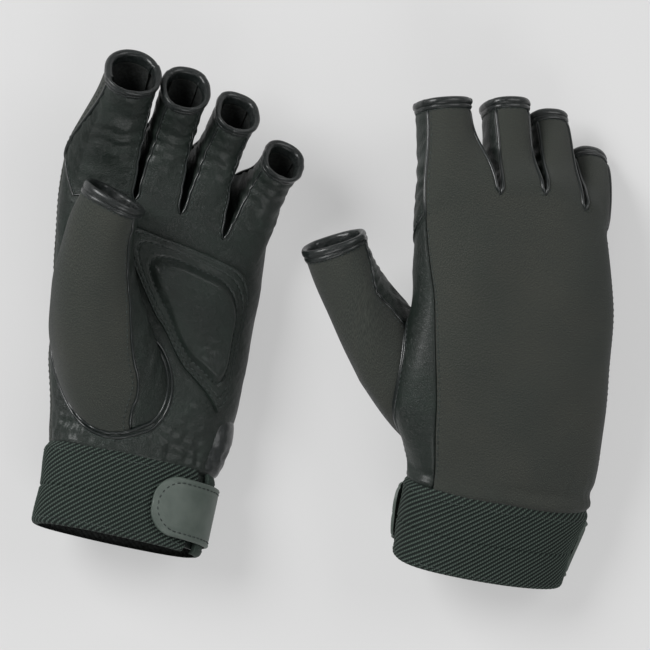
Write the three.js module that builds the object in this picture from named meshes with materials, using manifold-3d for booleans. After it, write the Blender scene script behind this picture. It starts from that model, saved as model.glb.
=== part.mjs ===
// A pair of short-finger sailing gloves, laid out side by side: the left one palm up, the right one back up.
// Each glove keeps the shape it has on a hand. Its back and thumb are neoprene, its palm, its finger fronts and
// their side walls are leather, and an elastic cuff closes with a hook-and-loop tab.
//
// Frame: millimetres, +Z up. The gloves lie on z = 0 with their fingers towards +Y and their thumbs towards -X.
// In a glove's own frame x runs from the thumb side to the little finger, y from the wrist seam to the fingers,
// and z out of the back of the hand. Every panel is a block of a tube's skin that has been given a thickness.
import * as THREE from 'three';
import { mergeVertices } from 'three/addons/utils/BufferGeometryUtils.js';
import Module from 'manifold-3d';

const wasm = await Module();
wasm.setup();

const rad = THREE.MathUtils.degToRad;
const { lerp, smoothstep, clamp } = THREE.MathUtils;

// ---- the hand ----
const HAND_LENGTH = 128; // wrist seam to the middle finger's crotch
const HAND_BEND = rad(22); // how far the hand cups over that length
const SQUARENESS = 2.4; // superellipse exponent of every cross-section
// [distance from the wrist seam, millimetres]
const HALF_WIDTH = [[40, 43], [80, 45], [HAND_LENGTH, 43.5]];
const BACK_HEIGHT = [[0, 19], [40, 18.5], [80, 18], [HAND_LENGTH, 15.5]];
const PALM_HEIGHT = [[0, 19], [40, 20], [80, 19], [HAND_LENGTH, 15.5]];
const LITTLE_SEAM = rad(6); // height of the back panel's little-finger edge, as an angle of the section
const PALM_EDGE = rad(28); // the palm leather starts this far below the hand's widest line
const CROTCH_DISTANCE = [121, 129, 128, 121, 112]; // thumb edge, three crotches, little-finger edge
const PALM_CROTCH_DROP = 16; // the crotches lie this much lower in the palm
// ---- the fingers; seam is the height of a stall's back seams, as an angle of its section, and morph is how
// far past the crotch the stall has a section of its own ----
const FINGERS = [
  { name: 'index', halfWidth: 11.6, halfHeight: 11.6, length: 55, seam: rad(30), morph: 48 },
  { name: 'middle', halfWidth: 9.9, halfHeight: 11.2, length: 50, seam: rad(44), morph: 30 },
  { name: 'ring', halfWidth: 9.4, halfHeight: 10.8, length: 48, seam: rad(44), morph: 30 },
  { name: 'little', halfWidth: 8.8, halfHeight: 10, length: 40, seam: rad(36), morph: 30 },
];
const SLIT_CLEARANCE = 0.35; // of each stall, from the plane where two fingers part
// ---- the thumb, set into an oval hole of the palm leather ----
const HOLE = { distance: 43, halfLength: 35, halfAngle: rad(42), slant: rad(16) };
const HOLE_MARGIN = 1.6; // between the hole's rim and the thumb
const THUMB_HALF_WIDTH = 13.6;
const THUMB_HALF_HEIGHT = 12.6;
const THUMB_LIFT = 6; // how far its root arches away from the hand
const THUMB_BEND_SHARE = 0.45; // where its centreline bends, from the opening back to the hole

const THUMB_KNUCKLE = 0.52; // share of the thumb's length at which it bends
const THUMB_KNUCKLE_GAP = 0.016;
const THUMB_PANEL_END = 0.95; // where its binding starts
const THUMB_MORPH = 0.95; // share of the thumb's length over which its section forms
// ---- the palm's reinforcement, as [distance, angle] of its corners ----
const PATCH = {
  thumbTop: [104, rad(-116)], littleTop: [91, rad(-34)], thumbBottom: [46, rad(-80)], littleBottom: [26, rad(-42)],
};
const PATCH_SHARES = [0, 0.07, 0.14, 0.32, 0.5, 0.68, 0.86, 0.93, 1]; // its mesh lines, either way
const PAD_SPAN = [2, 6]; // the lines between which the pad lies
// ---- the cuff and its tab ----
const CUFF_LENGTH = 35;
const VENT = [rad(-44), rad(-32)]; // the gap in the cuff that the tab bridges
const TAB_ROOT = rad(-6);
const TAB_WIDTH = 25;
const TAB_END_RADIUS = 11;
const HOOK_MARGIN = 3;
const HOOK_START = 0.35; // of the way along the tab
const TAB_EXTRA = 0.5; // on either edge of the tab
// ---- thicknesses and clearances ----
const NEOPRENE = 2.4;
const LEATHER = 1.4;
const THUMB_SEAM_THICKNESS = 0.6; // the thumb's panels are pared down where they meet the hand
const THUMB_TRIM = 0.7; // off either side of the thumb's panels
const WEBBING = 2;
const TAB = 1.3;
const HOOK = 1;
const PAD = 2;
const GAP = 0.35;
const LAYER_GAP = 0.6; // between the cuff, the hook patch and the tab
const BINDING_WIDTH = 5;
const BINDING_PROUD = 0.5;
const BACK_KNUCKLE_GAP = 6; // a stall bends at the palm, so its back needs room at the knuckle
const PALM_KNUCKLE_GAP = 1.6;
const PRESSED = 2.5; // the lowest part of a glove is pressed flat by this much
const FOOT_DEPTH = 0.8; // what would reach this much lower still lies exactly flat
const SWAY_LENGTH = 50; // the wrist bends sideways over this length
// ---- mesh counts ----
const BACK_STEPS = 4; // across one finger's back or front
const SIDE_STEPS = 2; // across one side
const HAND_ROWS = 9;
const STALL_ROWS = 6;
const THUMB_STEPS = 20; // round the thumb
const THUMB_ROOT_ROWS = 6;
const THUMB_TIP_ROWS = 5;
const CUFF_STEPS = 32;
const TAB_STEP = rad(6);
const TAB_COLUMNS = 4;
const CUTTER_RINGS = [0.02, 0.35, 0.7, 1]; // of the tool that cuts the thumb's hole, as shares of its reach
const CUTTER_THICKNESS = 6;

// ---- how each glove is worn, turned and laid down ----
// bulge: what widens the hand's thumb side, by distance; lean: how far the knuckles lie to one side
// seam: height of the back panel's thumb-side edge, by distance; indexSeam: the same at the index's opening
// partings: where the fingers part, as shares of the half width; fan: each finger's lean to the little finger
// sway: how far the wrist bends sideways; under: room for the layers that lie under the glove
// thumbAim, thumbBack, thumbFlex: the way that the thumb's opening, its back and its bending face
// thumbSeams: the columns between which the thumb is neoprene
const GLOVES = [
  {
    name: 'left', palmUp: true, place: [-84, -59], yaw: rad(-11), roll: rad(12), pitch: rad(-9), sway: 0,
    cuffHalfWidth: 36, wristHalfWidth: 36.5, bulge: [[60, 0], [HAND_LENGTH, 7]], lean: -8,
    seam: [[0, rad(-2)]], indexSeam: rad(-22), partings: [-0.38, 0.04, 0.5], fan: [-4, -3, 4, 11].map(rad),
    curl: [38, 40, 36, 40].map(rad), under: 0, holeAngle: rad(232), thumbTip: [-38, 104, -49],
    thumbAim: [0.08, 0.88, -0.45], thumbBack: [-0.35, 0, -0.93], thumbFlex: [-0.2, 0, -0.98],
    thumbSeams: [7, 17], tabReach: rad(-80),
  },
  {
    name: 'right', palmUp: false, place: [74, -73], yaw: rad(-15), roll: rad(24), pitch: rad(12), sway: rad(12),
    cuffHalfWidth: 38, wristHalfWidth: 42, bulge: [[0, 0], [42, 11], [95, 0]], lean: 1,
    seam: [[0, rad(34)], [45, rad(45)], [HAND_LENGTH, rad(20)]], indexSeam: rad(30),
    partings: [-0.22, 0.26, 0.69], fan: [0, 2.5, 4.5, 10].map(rad), curl: [6, 12, 34, 55].map(rad), under: 4.6,
    holeAngle: rad(224), thumbTip: [-78, 110, -26], thumbAim: [-0.43, 0.87, -0.25],
    thumbBack: [-0.4, 0.1, 0.9], thumbFlex: [0.75, 0, -0.66], thumbSeams: [8, 18],
    tabReach: rad(-160),
  },
];

// ---- small helpers ----
const vec = (x, y, z) => new THREE.Vector3(x, y, z);
const mean = (points) => points.reduce((sum, p) => sum.add(p), vec(0, 0, 0)).divideScalar(points.length);
const signedPower = (value, power) => Math.sign(value) * Math.abs(value) ** power;
// Evenly spaced values from a to b, with and without the last.
const spaced = (a, b, count) => Array.from({ length: count + 1 }, (_, i) => lerp(a, b, i / count));
const steps = (a, b, count) => spaced(a, b, count).slice(0, count);

// The value of a [distance, value] table at a distance, eased between its entries.
function fromTable(table, at) {
  const next = table.findIndex(([distance]) => at <= distance);
  if (next === 0) return table[0][1];
  if (next < 0) return table.at(-1)[1];
  const [[start, a], [end, b]] = [table[next - 1], table[next]];
  return lerp(a, b, smoothstep(at, start, end));
}

// A point of a superellipse: angle 0 is towards the little finger, a quarter turn is the back.
function superellipse(angle, halfWidth, backHeight, palmHeight = backHeight) {
  const height = Math.sin(angle) > 0 ? backHeight : palmHeight;
  const power = 2 / SQUARENESS;
  return [halfWidth * signedPower(Math.cos(angle), power), height * signedPower(Math.sin(angle), power)];
}

// ---- the hand's tube ----
// The columns of its ring: across the back, down the little-finger side, across the palm and up the thumb side.
// Each finger owns BACK_STEPS columns of the back and as many of the palm.
const ACROSS = FINGERS.length * BACK_STEPS;
const PALM_START = ACROSS + SIDE_STEPS;
const THUMB_SIDE_START = PALM_START + ACROSS;
const HAND_COLUMNS = THUMB_SIDE_START + SIDE_STEPS;

function handAngles(glove, distance) {
  const inner = glove.partings.map((share) => Math.acos(signedPower(share, SQUARENESS / 2)));
  const seam = fromTable(glove.seam, distance);
  const back = [Math.PI - seam, ...inner, LITTLE_SEAM];
  const palm = [Math.PI - PALM_EDGE, ...inner, PALM_EDGE].map((angle) => -angle).reverse();
  const across = (edges) => FINGERS.flatMap((_, k) => steps(edges[k], edges[k + 1], BACK_STEPS));
  return [
    ...across(back), ...steps(LITTLE_SEAM, -PALM_EDGE, SIDE_STEPS),
    ...across(palm), ...steps(PALM_EDGE - Math.PI, -seam - Math.PI, SIDE_STEPS),
  ];
}

// How far from the wrist seam each column meets the fingers.
function crotchDistance(column) {
  const onBack = (c) => {
    const k = Math.min(Math.floor(c / BACK_STEPS), FINGERS.length - 1);
    return lerp(CROTCH_DISTANCE[k], CROTCH_DISTANCE[k + 1], c / BACK_STEPS - k);
  };
  if (column <= ACROSS) return onBack(column);
  if (column < PALM_START) {
    return CROTCH_DISTANCE.at(-1) - (PALM_CROTCH_DROP * (column - ACROSS)) / SIDE_STEPS;
  }
  if (column <= THUMB_SIDE_START) return onBack(THUMB_SIDE_START - column) - PALM_CROTCH_DROP;
  return CROTCH_DISTANCE[0] - (PALM_CROTCH_DROP * (HAND_COLUMNS - column)) / SIDE_STEPS;
}

// The room that a bending stall needs, largest at the back.
function knuckleGap(column) {
  if (column <= ACROSS) return BACK_KNUCKLE_GAP;
  if (column >= PALM_START && column <= THUMB_SIDE_START) return PALM_KNUCKLE_GAP;
  return (BACK_KNUCKLE_GAP + PALM_KNUCKLE_GAP) / 2;
}

// The frame of the hand's centreline: a straight cuff, then an arc that cups towards the palm.
function spineFrame(distance) {
  const radius = HAND_LENGTH / HAND_BEND;
  const turn = Math.max(distance, 0) / radius;
  const along = vec(0, Math.cos(turn), -Math.sin(turn));
  const origin = vec(0, radius * Math.sin(turn), -radius * (1 - Math.cos(turn)));
  origin.addScaledVector(along, Math.min(distance, 0));
  return { origin, side: vec(1, 0, 0), along, up: vec(0, Math.sin(turn), Math.cos(turn)) };
}

function inFrame(frame, side, along, up) {
  return frame.origin.clone().addScaledVector(frame.side, side).addScaledVector(frame.along, along)
    .addScaledVector(frame.up, up);
}

const knuckleShift = (glove, distance) => glove.lean * smoothstep(distance, 0, HAND_LENGTH);

function handPoint(glove, distance, angle) {
  const table = [[-CUFF_LENGTH, glove.cuffHalfWidth], [0, glove.wristHalfWidth], ...HALF_WIDTH];
  const bulge = Math.cos(angle) < 0 ? fromTable(glove.bulge, distance) : 0;
  const width = fromTable(table, distance) + bulge;
  const [x, z] = superellipse(angle, width, fromTable(BACK_HEIGHT, distance), fromTable(PALM_HEIGHT, distance));
  return inFrame(spineFrame(distance), x + knuckleShift(glove, distance), 0, z);
}

// ---- laying a glove down ----
// Bends the hand sideways, then turns it, mirrored if it lies palm up.
function turned(glove, point) {
  const p = point.clone();
  if (glove.sway) {
    const radius = SWAY_LENGTH / glove.sway;
    const angle = clamp(p.y, 0, SWAY_LENGTH) / radius;
    const rest = p.y - clamp(p.y, 0, SWAY_LENGTH);
    const x = p.x + radius;
    p.x = x * Math.cos(angle) - rest * Math.sin(angle) - radius;
    p.y = x * Math.sin(angle) + rest * Math.cos(angle);
  }
  if (glove.palmUp) p.z = -p.z;
  return p.applyAxisAngle(vec(0, 1, 0), glove.roll).applyAxisAngle(vec(1, 0, 0), glove.pitch)
    .applyAxisAngle(vec(0, 0, 1), glove.yaw);
}

// What would reach under the height that the glove is pressed to lies flat there instead, eased at its edge.
function pressed(height) {
  if (height >= PRESSED) return height;
  return height <= -PRESSED ? 0 : (height + PRESSED) ** 2 / (4 * PRESSED);
}

function layDown(glove, point, under = glove.under) {
  const p = turned(glove, point);
  const height = p.z + glove.height;
  return vec(p.x + glove.place[0], p.y + glove.place[1], under + pressed(height));
}

function restingHeight(glove) {
  const ring = (d) => handAngles(glove, d).map((a) => handPoint(glove, d, a));
  const rings = spaced(0, HAND_LENGTH, HAND_ROWS).map(ring);
  const lowest = Math.min(...rings.flat().map((p) => turned(glove, p).z));
  return -PRESSED - FOOT_DEPTH - lowest;
}

// ---- finger stalls and the thumb: tubes whose section changes from a base ring to an opening ----
// The frame of a centreline that leaves a base frame and curls towards the palm at a steady rate.
function curlFrame(base, curl, length, distance) {
  const radius = length / curl;
  const turn = distance / radius;
  const along = base.along.clone().multiplyScalar(Math.cos(turn)).addScaledVector(base.up, -Math.sin(turn));
  const up = base.up.clone().multiplyScalar(Math.cos(turn)).addScaledVector(base.along, Math.sin(turn));
  const origin = base.origin.clone().addScaledVector(base.along, radius * Math.sin(turn))
    .addScaledVector(base.up, -radius * (1 - Math.cos(turn)));
  return { origin, side: base.side, along, up };
}

// The frame in the middle of a finger where it leaves the hand.
function fingerBase(glove, k) {
  const distance = (CROTCH_DISTANCE[k] + CROTCH_DISTANCE[k + 1] - PALM_CROTCH_DROP) / 2;
  const frame = spineFrame(distance);
  const shares = [-1, ...glove.partings, 1];
  const middle = (fromTable(HALF_WIDTH, distance) * (shares[k] + shares[k + 1])) / 2;
  const fan = glove.fan[k];
  return {
    origin: inFrame(frame, middle + knuckleShift(glove, distance), 0, 0),
    side: frame.side.clone().multiplyScalar(Math.cos(fan)).addScaledVector(frame.along, -Math.sin(fan)),
    along: frame.along.clone().multiplyScalar(Math.cos(fan)).addScaledVector(frame.side, Math.sin(fan)),
    up: frame.up,
  };
}

// The hand's section where finger k leaves it: its back, its far side, its front and its near side.
function fingerSlice(glove, k) {
  const angles = handAngles(glove, HAND_LENGTH);
  const hand = (c) => handPoint(glove, crotchDistance(c), angles[c % HAND_COLUMNS]);
  const run = (start, count) => Array.from({ length: count + 1 }, (_, i) => hand(start + i));
  const back = run(k * BACK_STEPS, BACK_STEPS);
  const front = run(THUMB_SIDE_START - (k + 1) * BACK_STEPS, BACK_STEPS);
  const wall = (a, b) => steps(0, 1, SIDE_STEPS).slice(1).map((share) => a.clone().lerp(b, share));
  const isFirst = k === 0;
  const isLast = k === FINGERS.length - 1;
  const farSide = isLast ? run(ACROSS, SIDE_STEPS).slice(1, -1) : wall(back.at(-1), front[0]);
  const nearSide = isFirst ? run(THUMB_SIDE_START, SIDE_STEPS).slice(1, -1) : wall(front.at(-1), back[0]);
  const half = BACK_STEPS / 2;
  const shifted = (points, shift) => points.map((p) => p.clone().add(vec(shift, 0, 0)));
  const nearShift = isFirst ? 0 : SLIT_CLEARANCE;
  const farShift = isLast ? 0 : -SLIT_CLEARANCE;
  return [
    ...shifted(back.slice(0, half), nearShift), back[half], ...shifted(back.slice(half + 1), farShift),
    ...shifted(farSide, farShift), ...shifted(front.slice(0, half), farShift), front[half],
    ...shifted(front.slice(half + 1), nearShift), ...shifted(nearSide, nearShift),
  ];
}

function stallSection(glove, k) {
  const { seam, halfWidth, halfHeight } = FINGERS[k];
  const thumbSeam = k === 0 ? glove.indexSeam : seam;
  return [
    ...steps(Math.PI - thumbSeam, seam, BACK_STEPS), ...steps(seam, -seam, SIDE_STEPS),
    ...steps(-seam, seam - Math.PI, BACK_STEPS), ...steps(seam - Math.PI, -thumbSeam - Math.PI, SIDE_STEPS),
  ].map((angle) => superellipse(angle, halfWidth, halfHeight));
}

// A base ring carried along a centreline, faded into the opening's section.
function fadedRing(base, frame, ring, section, share) {
  return ring.map((point, i) => {
    const offset = point.clone().sub(base.origin);
    const [x, z] = section[i];
    const along = lerp(offset.dot(base.along), 0, share);
    return inFrame(frame, lerp(offset.dot(base.side), x, share), along, lerp(offset.dot(base.up), z, share));
  });
}

function fingerRing(glove, k, distance) {
  const finger = FINGERS[k];
  const base = fingerBase(glove, k);
  const share = smoothstep(distance, 0, finger.morph);
  const frame = curlFrame(base, glove.curl[k], finger.length, distance);
  const under = lerp(glove.under, BINDING_PROUD, share);
  return fadedRing(base, frame, fingerSlice(glove, k), stallSection(glove, k), share)
    .map((p) => layDown(glove, p, under));
}

// Where a point of the hole that holds the thumb lies: [distance, angle]. reach 1 is the rim.
function holePlace(glove, turn, reach, margin = 0) {
  const along = ((HOLE.halfLength + margin) * Math.cos(turn)) * reach;
  const halfAngle = HOLE.halfAngle + margin / HALF_WIDTH[0][1];
  const around = (halfAngle * Math.sin(turn) - HOLE.slant * Math.cos(turn)) * reach;
  return [HOLE.distance + along, glove.holeAngle + around];
}

// The thumb's centreline is a quadratic curve from the middle of the hole to the opening, which it meets in
// the direction thumbAim.
function thumbTube(glove) {
  const rim = steps(0, 2 * Math.PI, THUMB_STEPS).map((turn) => handPoint(glove, ...holePlace(glove, turn, 1)));
  const start = mean(rim);
  const tip = vec(...glove.thumbTip);
  const away = start.clone().sub(spineFrame(HOLE.distance).origin).normalize();
  const aim = vec(...glove.thumbAim).normalize();
  const bend = tip.clone().addScaledVector(aim, -THUMB_BEND_SHARE * start.distanceTo(tip))
    .addScaledVector(away, THUMB_LIFT);
  const curve = new THREE.QuadraticBezierCurve3(start, bend, tip);
  const frameAt = (share) => {
    const along = curve.getTangent(share);
    const side = along.clone().cross(vec(...glove.thumbBack)).normalize();
    return { origin: curve.getPoint(share), side, along, up: side.clone().cross(along) };
  };
  return { rim, frameAt };
}

function thumbRing(glove, share) {
  const { rim, frameAt } = thumbTube(glove);
  const base = frameAt(0);
  // Each rim point goes to the part of the opening that faces the same way, so that the tube doesn't twist.
  const facing = (p) => {
    const offset = p.clone().sub(base.origin);
    return Math.atan2(offset.dot(base.up), offset.dot(base.side));
  };
  const first = facing(rim[0]);
  const turning = Math.sign(Math.sin(facing(rim[2]) - first));
  const section = rim.map((_, i) => {
    const angle = first + (turning * 2 * Math.PI * i) / rim.length;
    return superellipse(angle, THUMB_HALF_WIDTH, THUMB_HALF_HEIGHT);
  });
  const under = lerp(glove.under, 0, smoothstep(share, 0, THUMB_MORPH));
  return fadedRing(base, frameAt(share), rim, section, smoothstep(share, 0, THUMB_MORPH))
    .map((p) => layDown(glove, p, under));
}

// ---- grids: rows of points in the pair's frame, each with its outward normal ----
function makeGrid(rows, closed = true) {
  const columns = rows[0].length;
  const column = (c) => (closed ? (c + columns) % columns : clamp(c, 0, columns - 1));
  const at = (r, c) => rows[clamp(r, 0, rows.length - 1)][column(c)];
  const normals = rows.map((row, r) => row.map((_, c) => {
    const down = at(r + 1, c).clone().sub(at(r - 1, c));
    const round = at(r, c + 1).clone().sub(at(r, c - 1));
    return round.cross(down).normalize();
  }));
  return { rows, normals, columns };
}

// Turns a grid's normals over where they point at its middle.
function outward(grid, middle = mean(grid.rows.flat())) {
  let facing = 0;
  grid.rows.forEach((row, r) => row.forEach((p, c) => {
    facing += p.clone().sub(middle).dot(grid.normals[r][c]);
  }));
  if (facing < 0) grid.normals.flat().forEach((n) => n.negate());
  return grid;
}

// A closed shell over a block of a grid. rows and columns are inclusive spans, and a column may pass the end
// of the ring. inner and outer are heights over the grid, or functions of a row and a column of the block.
// trim is what comes off the first row, the last row, the first column and the last column.
function shell(grid, { rows, columns, inner, outer, trim = [0, 0, 0, 0] }) {
  const [firstRow, lastRow] = rows ?? [0, grid.rows.length - 1];
  const [firstColumn, lastColumn] = columns ?? [0, grid.columns];
  const height = lastRow - firstRow + 1;
  const width = lastColumn - firstColumn + 1;
  const closed = lastColumn - firstColumn === grid.columns;
  const place = (r, c, offset) => {
    const column = (firstColumn + c) % grid.columns;
    const raise = typeof offset === 'function' ? offset(r, c) : offset;
    return grid.rows[firstRow + r][column].clone().addScaledVector(grid.normals[firstRow + r][column], raise);
  };
  const layers = [outer, inner].map((offset) => Array.from(
    { length: height }, (_, r) => Array.from({ length: width }, (_, c) => place(r, c, offset)),
  ));
  const pull = (point, towards, by) => point.addScaledVector(towards.clone().sub(point).normalize(), by);
  for (const points of layers) {
    for (let c = 0; c < width; c++) {
      pull(points[0][c], points[1][c], trim[0]);
      pull(points[height - 1][c], points[height - 2][c], trim[1]);
    }
    for (let r = 0; r < height && !closed; r++) {
      pull(points[r][0], points[r][1], trim[2]);
      pull(points[r][width - 1], points[r][width - 2], trim[3]);
    }
  }
  return shellGeometry(layers, closed);
}

// The faces of two layers of points and of the rim between them, as one closed surface.
function shellGeometry(layers, closed) {
  const height = layers[0].length;
  const width = layers[0][0].length;
  const used = closed ? width - 1 : width;
  const index = (layer, r, c) => (layer * height + r) * used + (c % used);
  const faces = [];
  const quad = (a, b, c, d) => faces.push(a, b, c, a, c, d);
  for (let r = 0; r < height - 1; r++) {
    for (let c = 0; c < width - 1; c++) {
      quad(index(0, r, c), index(0, r, c + 1), index(0, r + 1, c + 1), index(0, r + 1, c));
      quad(index(1, r, c), index(1, r + 1, c), index(1, r + 1, c + 1), index(1, r, c + 1));
    }
    if (!closed) {
      const end = width - 1;
      quad(index(0, r, 0), index(0, r + 1, 0), index(1, r + 1, 0), index(1, r, 0));
      quad(index(0, r, end), index(1, r, end), index(1, r + 1, end), index(0, r + 1, end));
    }
  }
  for (let c = 0; c < width - 1; c++) {
    const end = height - 1;
    quad(index(0, 0, c), index(1, 0, c), index(1, 0, c + 1), index(0, 0, c + 1));
    quad(index(0, end, c), index(0, end, c + 1), index(1, end, c + 1), index(1, end, c));
  }
  return facingOut(layers.flatMap((points) => points.flatMap((row) => row.slice(0, used))), faces);
}

// A geometry whose faces point out, whichever way round they were listed.
function facingOut(points, faces) {
  let volume = 0;
  for (let i = 0; i < faces.length; i += 3) {
    const [a, b, c] = [points[faces[i]], points[faces[i + 1]], points[faces[i + 2]]];
    volume += a.dot(b.clone().cross(c));
  }
  if (volume < 0) faces.reverse();
  return new THREE.BufferGeometry().setFromPoints(points).setIndex(faces);
}

// ---- cutting the thumb's hole ----
function toSolid(geometry) {
  const bare = geometry.clone();
  bare.deleteAttribute('normal');
  bare.deleteAttribute('uv');
  const merged = mergeVertices(bare);
  const mesh = { numProp: 3, vertProperties: merged.attributes.position.array, triVerts: merged.index.array };
  return new wasm.Manifold(new wasm.Mesh(mesh));
}

function fromSolid(solid) {
  const mesh = solid.getMesh();
  const geometry = new THREE.BufferGeometry();
  geometry.setAttribute('position', new THREE.BufferAttribute(mesh.vertProperties, 3));
  return geometry.setIndex(new THREE.BufferAttribute(mesh.triVerts, 1));
}

// A thick lens that follows the hand's surface inside the hole's rim.
function holeCutter(glove) {
  const point = (turn, reach) => layDown(glove, handPoint(glove, ...holePlace(glove, turn, reach, HOLE_MARGIN)));
  const turns = steps(0, 2 * Math.PI, THUMB_STEPS);
  const rings = CUTTER_RINGS.map((reach) => turns.map((turn) => point(turn, reach)));
  const middle = layDown(glove, spineFrame(HOLE.distance).origin);
  const grid = outward(makeGrid(rings), middle);
  // The shell has a pinhole where its rings close, which is filled by a fan at either face.
  const geometry = shell(grid, { inner: -CUTTER_THICKNESS, outer: CUTTER_THICKNESS });
  return plugged(geometry, THUMB_STEPS, rings.length);
}

// Closes the tunnel through the middle of a ringed shell: swaps its wall for two flat fans.
function plugged(geometry, columns, rows) {
  const faces = Array.from(geometry.index.array);
  const inFirstRow = (i) => i % (columns * rows) < columns;
  const kept = [];
  for (let i = 0; i < faces.length; i += 3) {
    const face = faces.slice(i, i + 3);
    if (!face.every(inFirstRow)) kept.push(...face);
  }
  const fan = (start, flip) => {
    for (let i = 1; i < columns - 1; i++) {
      kept.push(...(flip ? [start, start + i + 1, start + i] : [start, start + i, start + i + 1]));
    }
  };
  const flipped = isFlipped(kept);
  fan(0, flipped);
  fan(columns * rows, !flipped);
  geometry.setIndex(kept);
  return geometry;
}

// Whether the edge from point 0 to point 1 is used in that direction, so a new face has to use it backwards.
function isFlipped(faces) {
  for (let i = 0; i < faces.length; i += 3) {
    for (let k = 0; k < 3; k++) {
      if (faces[i + k] === 0 && faces[i + ((k + 1) % 3)] === 1) return true;
    }
  }
  return false;
}

const cut = (geometry, tool) => fromSolid(toSolid(geometry).subtract(toSolid(tool)));

// ---- materials ----
const cloth = (color, roughness) => new THREE.MeshStandardMaterial({ color, roughness, metalness: 0 });
const materials = {
  neoprene: () => cloth(0x3c3c38, 0.95),
  leather: () => cloth(0x2a322e, 0.5),
  binding: () => cloth(0x262c29, 0.45),
  webbing: () => cloth(0x2d3732, 0.9),
  tab: () => cloth(0x4b554e, 0.6),
  hook: () => cloth(0x1c1e1d, 0.8),
  foam: () => cloth(0x555555, 1),
};

// ---- one glove ----
function buildGlove(glove) {
  glove.height = restingHeight(glove);
  const hand = new THREE.Group();
  hand.name = `${glove.name}_hand`;
  const add = (group, name, geometry, material) => {
    const mesh = new THREE.Mesh(geometry, materials[material]());
    mesh.name = `${glove.name}_${name}`;
    group.attach(mesh);
  };
  addHand(glove, hand, add);
  addPalmPatch(glove, hand, add);
  addCuff(glove, hand, add);
  FINGERS.forEach((_, k) => addFinger(glove, k, hand, add));
  addThumb(glove, hand, add);
  return hand;
}

// A group whose X axis is a hinge's axis; what is added to it keeps its place in the pair's frame.
function hinged(parent, name, at, axis) {
  const group = new THREE.Group();
  group.name = name;
  group.position.copy(at);
  group.quaternion.setFromUnitVectors(vec(1, 0, 0), axis.clone().normalize());
  parent.add(group);
  return group;
}

function addHand(glove, hand, add) {
  const point = (share, angle, column) => {
    const end = crotchDistance(column) - knuckleGap(column);
    return layDown(glove, handPoint(glove, lerp(0, end, share), angle));
  };
  const rows = spaced(0, 1, HAND_ROWS - 1)
    .map((share) => handAngles(glove, share * HAND_LENGTH).map((angle, column) => point(share, angle, column)));
  const grid = outward(makeGrid(rows));
  const half = GAP / 2;
  const trim = [GAP, 0, half, half];
  const panel = (columns, thickness) => shell(grid, { columns, inner: -thickness, outer: 0, trim });
  add(hand, 'hand_back', panel([0, ACROSS], NEOPRENE), 'neoprene');
  add(hand, 'palm_panel', cut(panel([ACROSS, HAND_COLUMNS], LEATHER), holeCutter(glove)), 'leather');
}

function addPalmPatch(glove, hand, add) {
  const corner = (v, u, i) => lerp(
    lerp(PATCH.thumbBottom[i], PATCH.littleBottom[i], u), lerp(PATCH.thumbTop[i], PATCH.littleTop[i], u), v,
  );
  const rows = PATCH_SHARES.map((v) => PATCH_SHARES.map((u) =>
    layDown(glove, handPoint(glove, corner(v, u, 0), corner(v, u, 1)))));
  const grid = outward(makeGrid(rows, false), layDown(glove, spineFrame(HAND_LENGTH / 2).origin));
  const [first, last] = PAD_SPAN;
  const isRaised = (r, c) => r >= first && r <= last && c >= first && c <= last;
  const under = (r, c) => (isRaised(r, c) ? PAD + 2 * GAP : GAP);
  const block = { columns: [0, PATCH_SHARES.length - 1] };
  const over = (r, c) => under(r, c) + LEATHER;
  add(hand, 'palm_patch', shell(grid, { ...block, inner: under, outer: over }), 'leather');
  add(hand, 'palm_pad', shell(grid, {
    rows: PAD_SPAN, columns: PAD_SPAN, inner: GAP, outer: GAP + PAD, trim: [GAP, GAP, GAP, GAP],
  }), 'foam');
}

function addCuff(glove, hand, add) {
  const cuffPoint = (distance, angle) => layDown(glove, handPoint(glove, distance, angle));
  const angles = spaced(VENT[1], VENT[0] + 2 * Math.PI, CUFF_STEPS);
  const rows = [-CUFF_LENGTH, -CUFF_LENGTH / 2, 0].map((d) => angles.map((a) => cuffPoint(d, a)));
  const middle = layDown(glove, spineFrame(-CUFF_LENGTH / 2).origin);
  const band = outward(makeGrid(rows, false), middle);
  add(hand, 'cuff_elastic', shell(band, { columns: [0, CUFF_STEPS], inner: -WEBBING, outer: 0 }), 'webbing');

  const root = cuffPoint(-CUFF_LENGTH / 2, TAB_ROOT);
  const axis = cuffPoint(-CUFF_LENGTH, TAB_ROOT).sub(cuffPoint(0, TAB_ROOT));
  const strap = hinged(hand, `${glove.name}_strap`, root, glove.palmUp ? axis.negate() : axis);
  const tab = tabGrid(glove, 0, middle);
  const under = 2 * LAYER_GAP + HOOK;
  const columns = [0, TAB_COLUMNS];
  add(strap, 'strap_tab', shell(tab, { columns, inner: under, outer: under + TAB }), 'tab');
  const hook = tabGrid(glove, HOOK_MARGIN, middle);
  add(strap, 'strap_hook_patch', shell(hook, { columns, inner: LAYER_GAP, outer: LAYER_GAP + HOOK }), 'hook');
}

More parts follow.
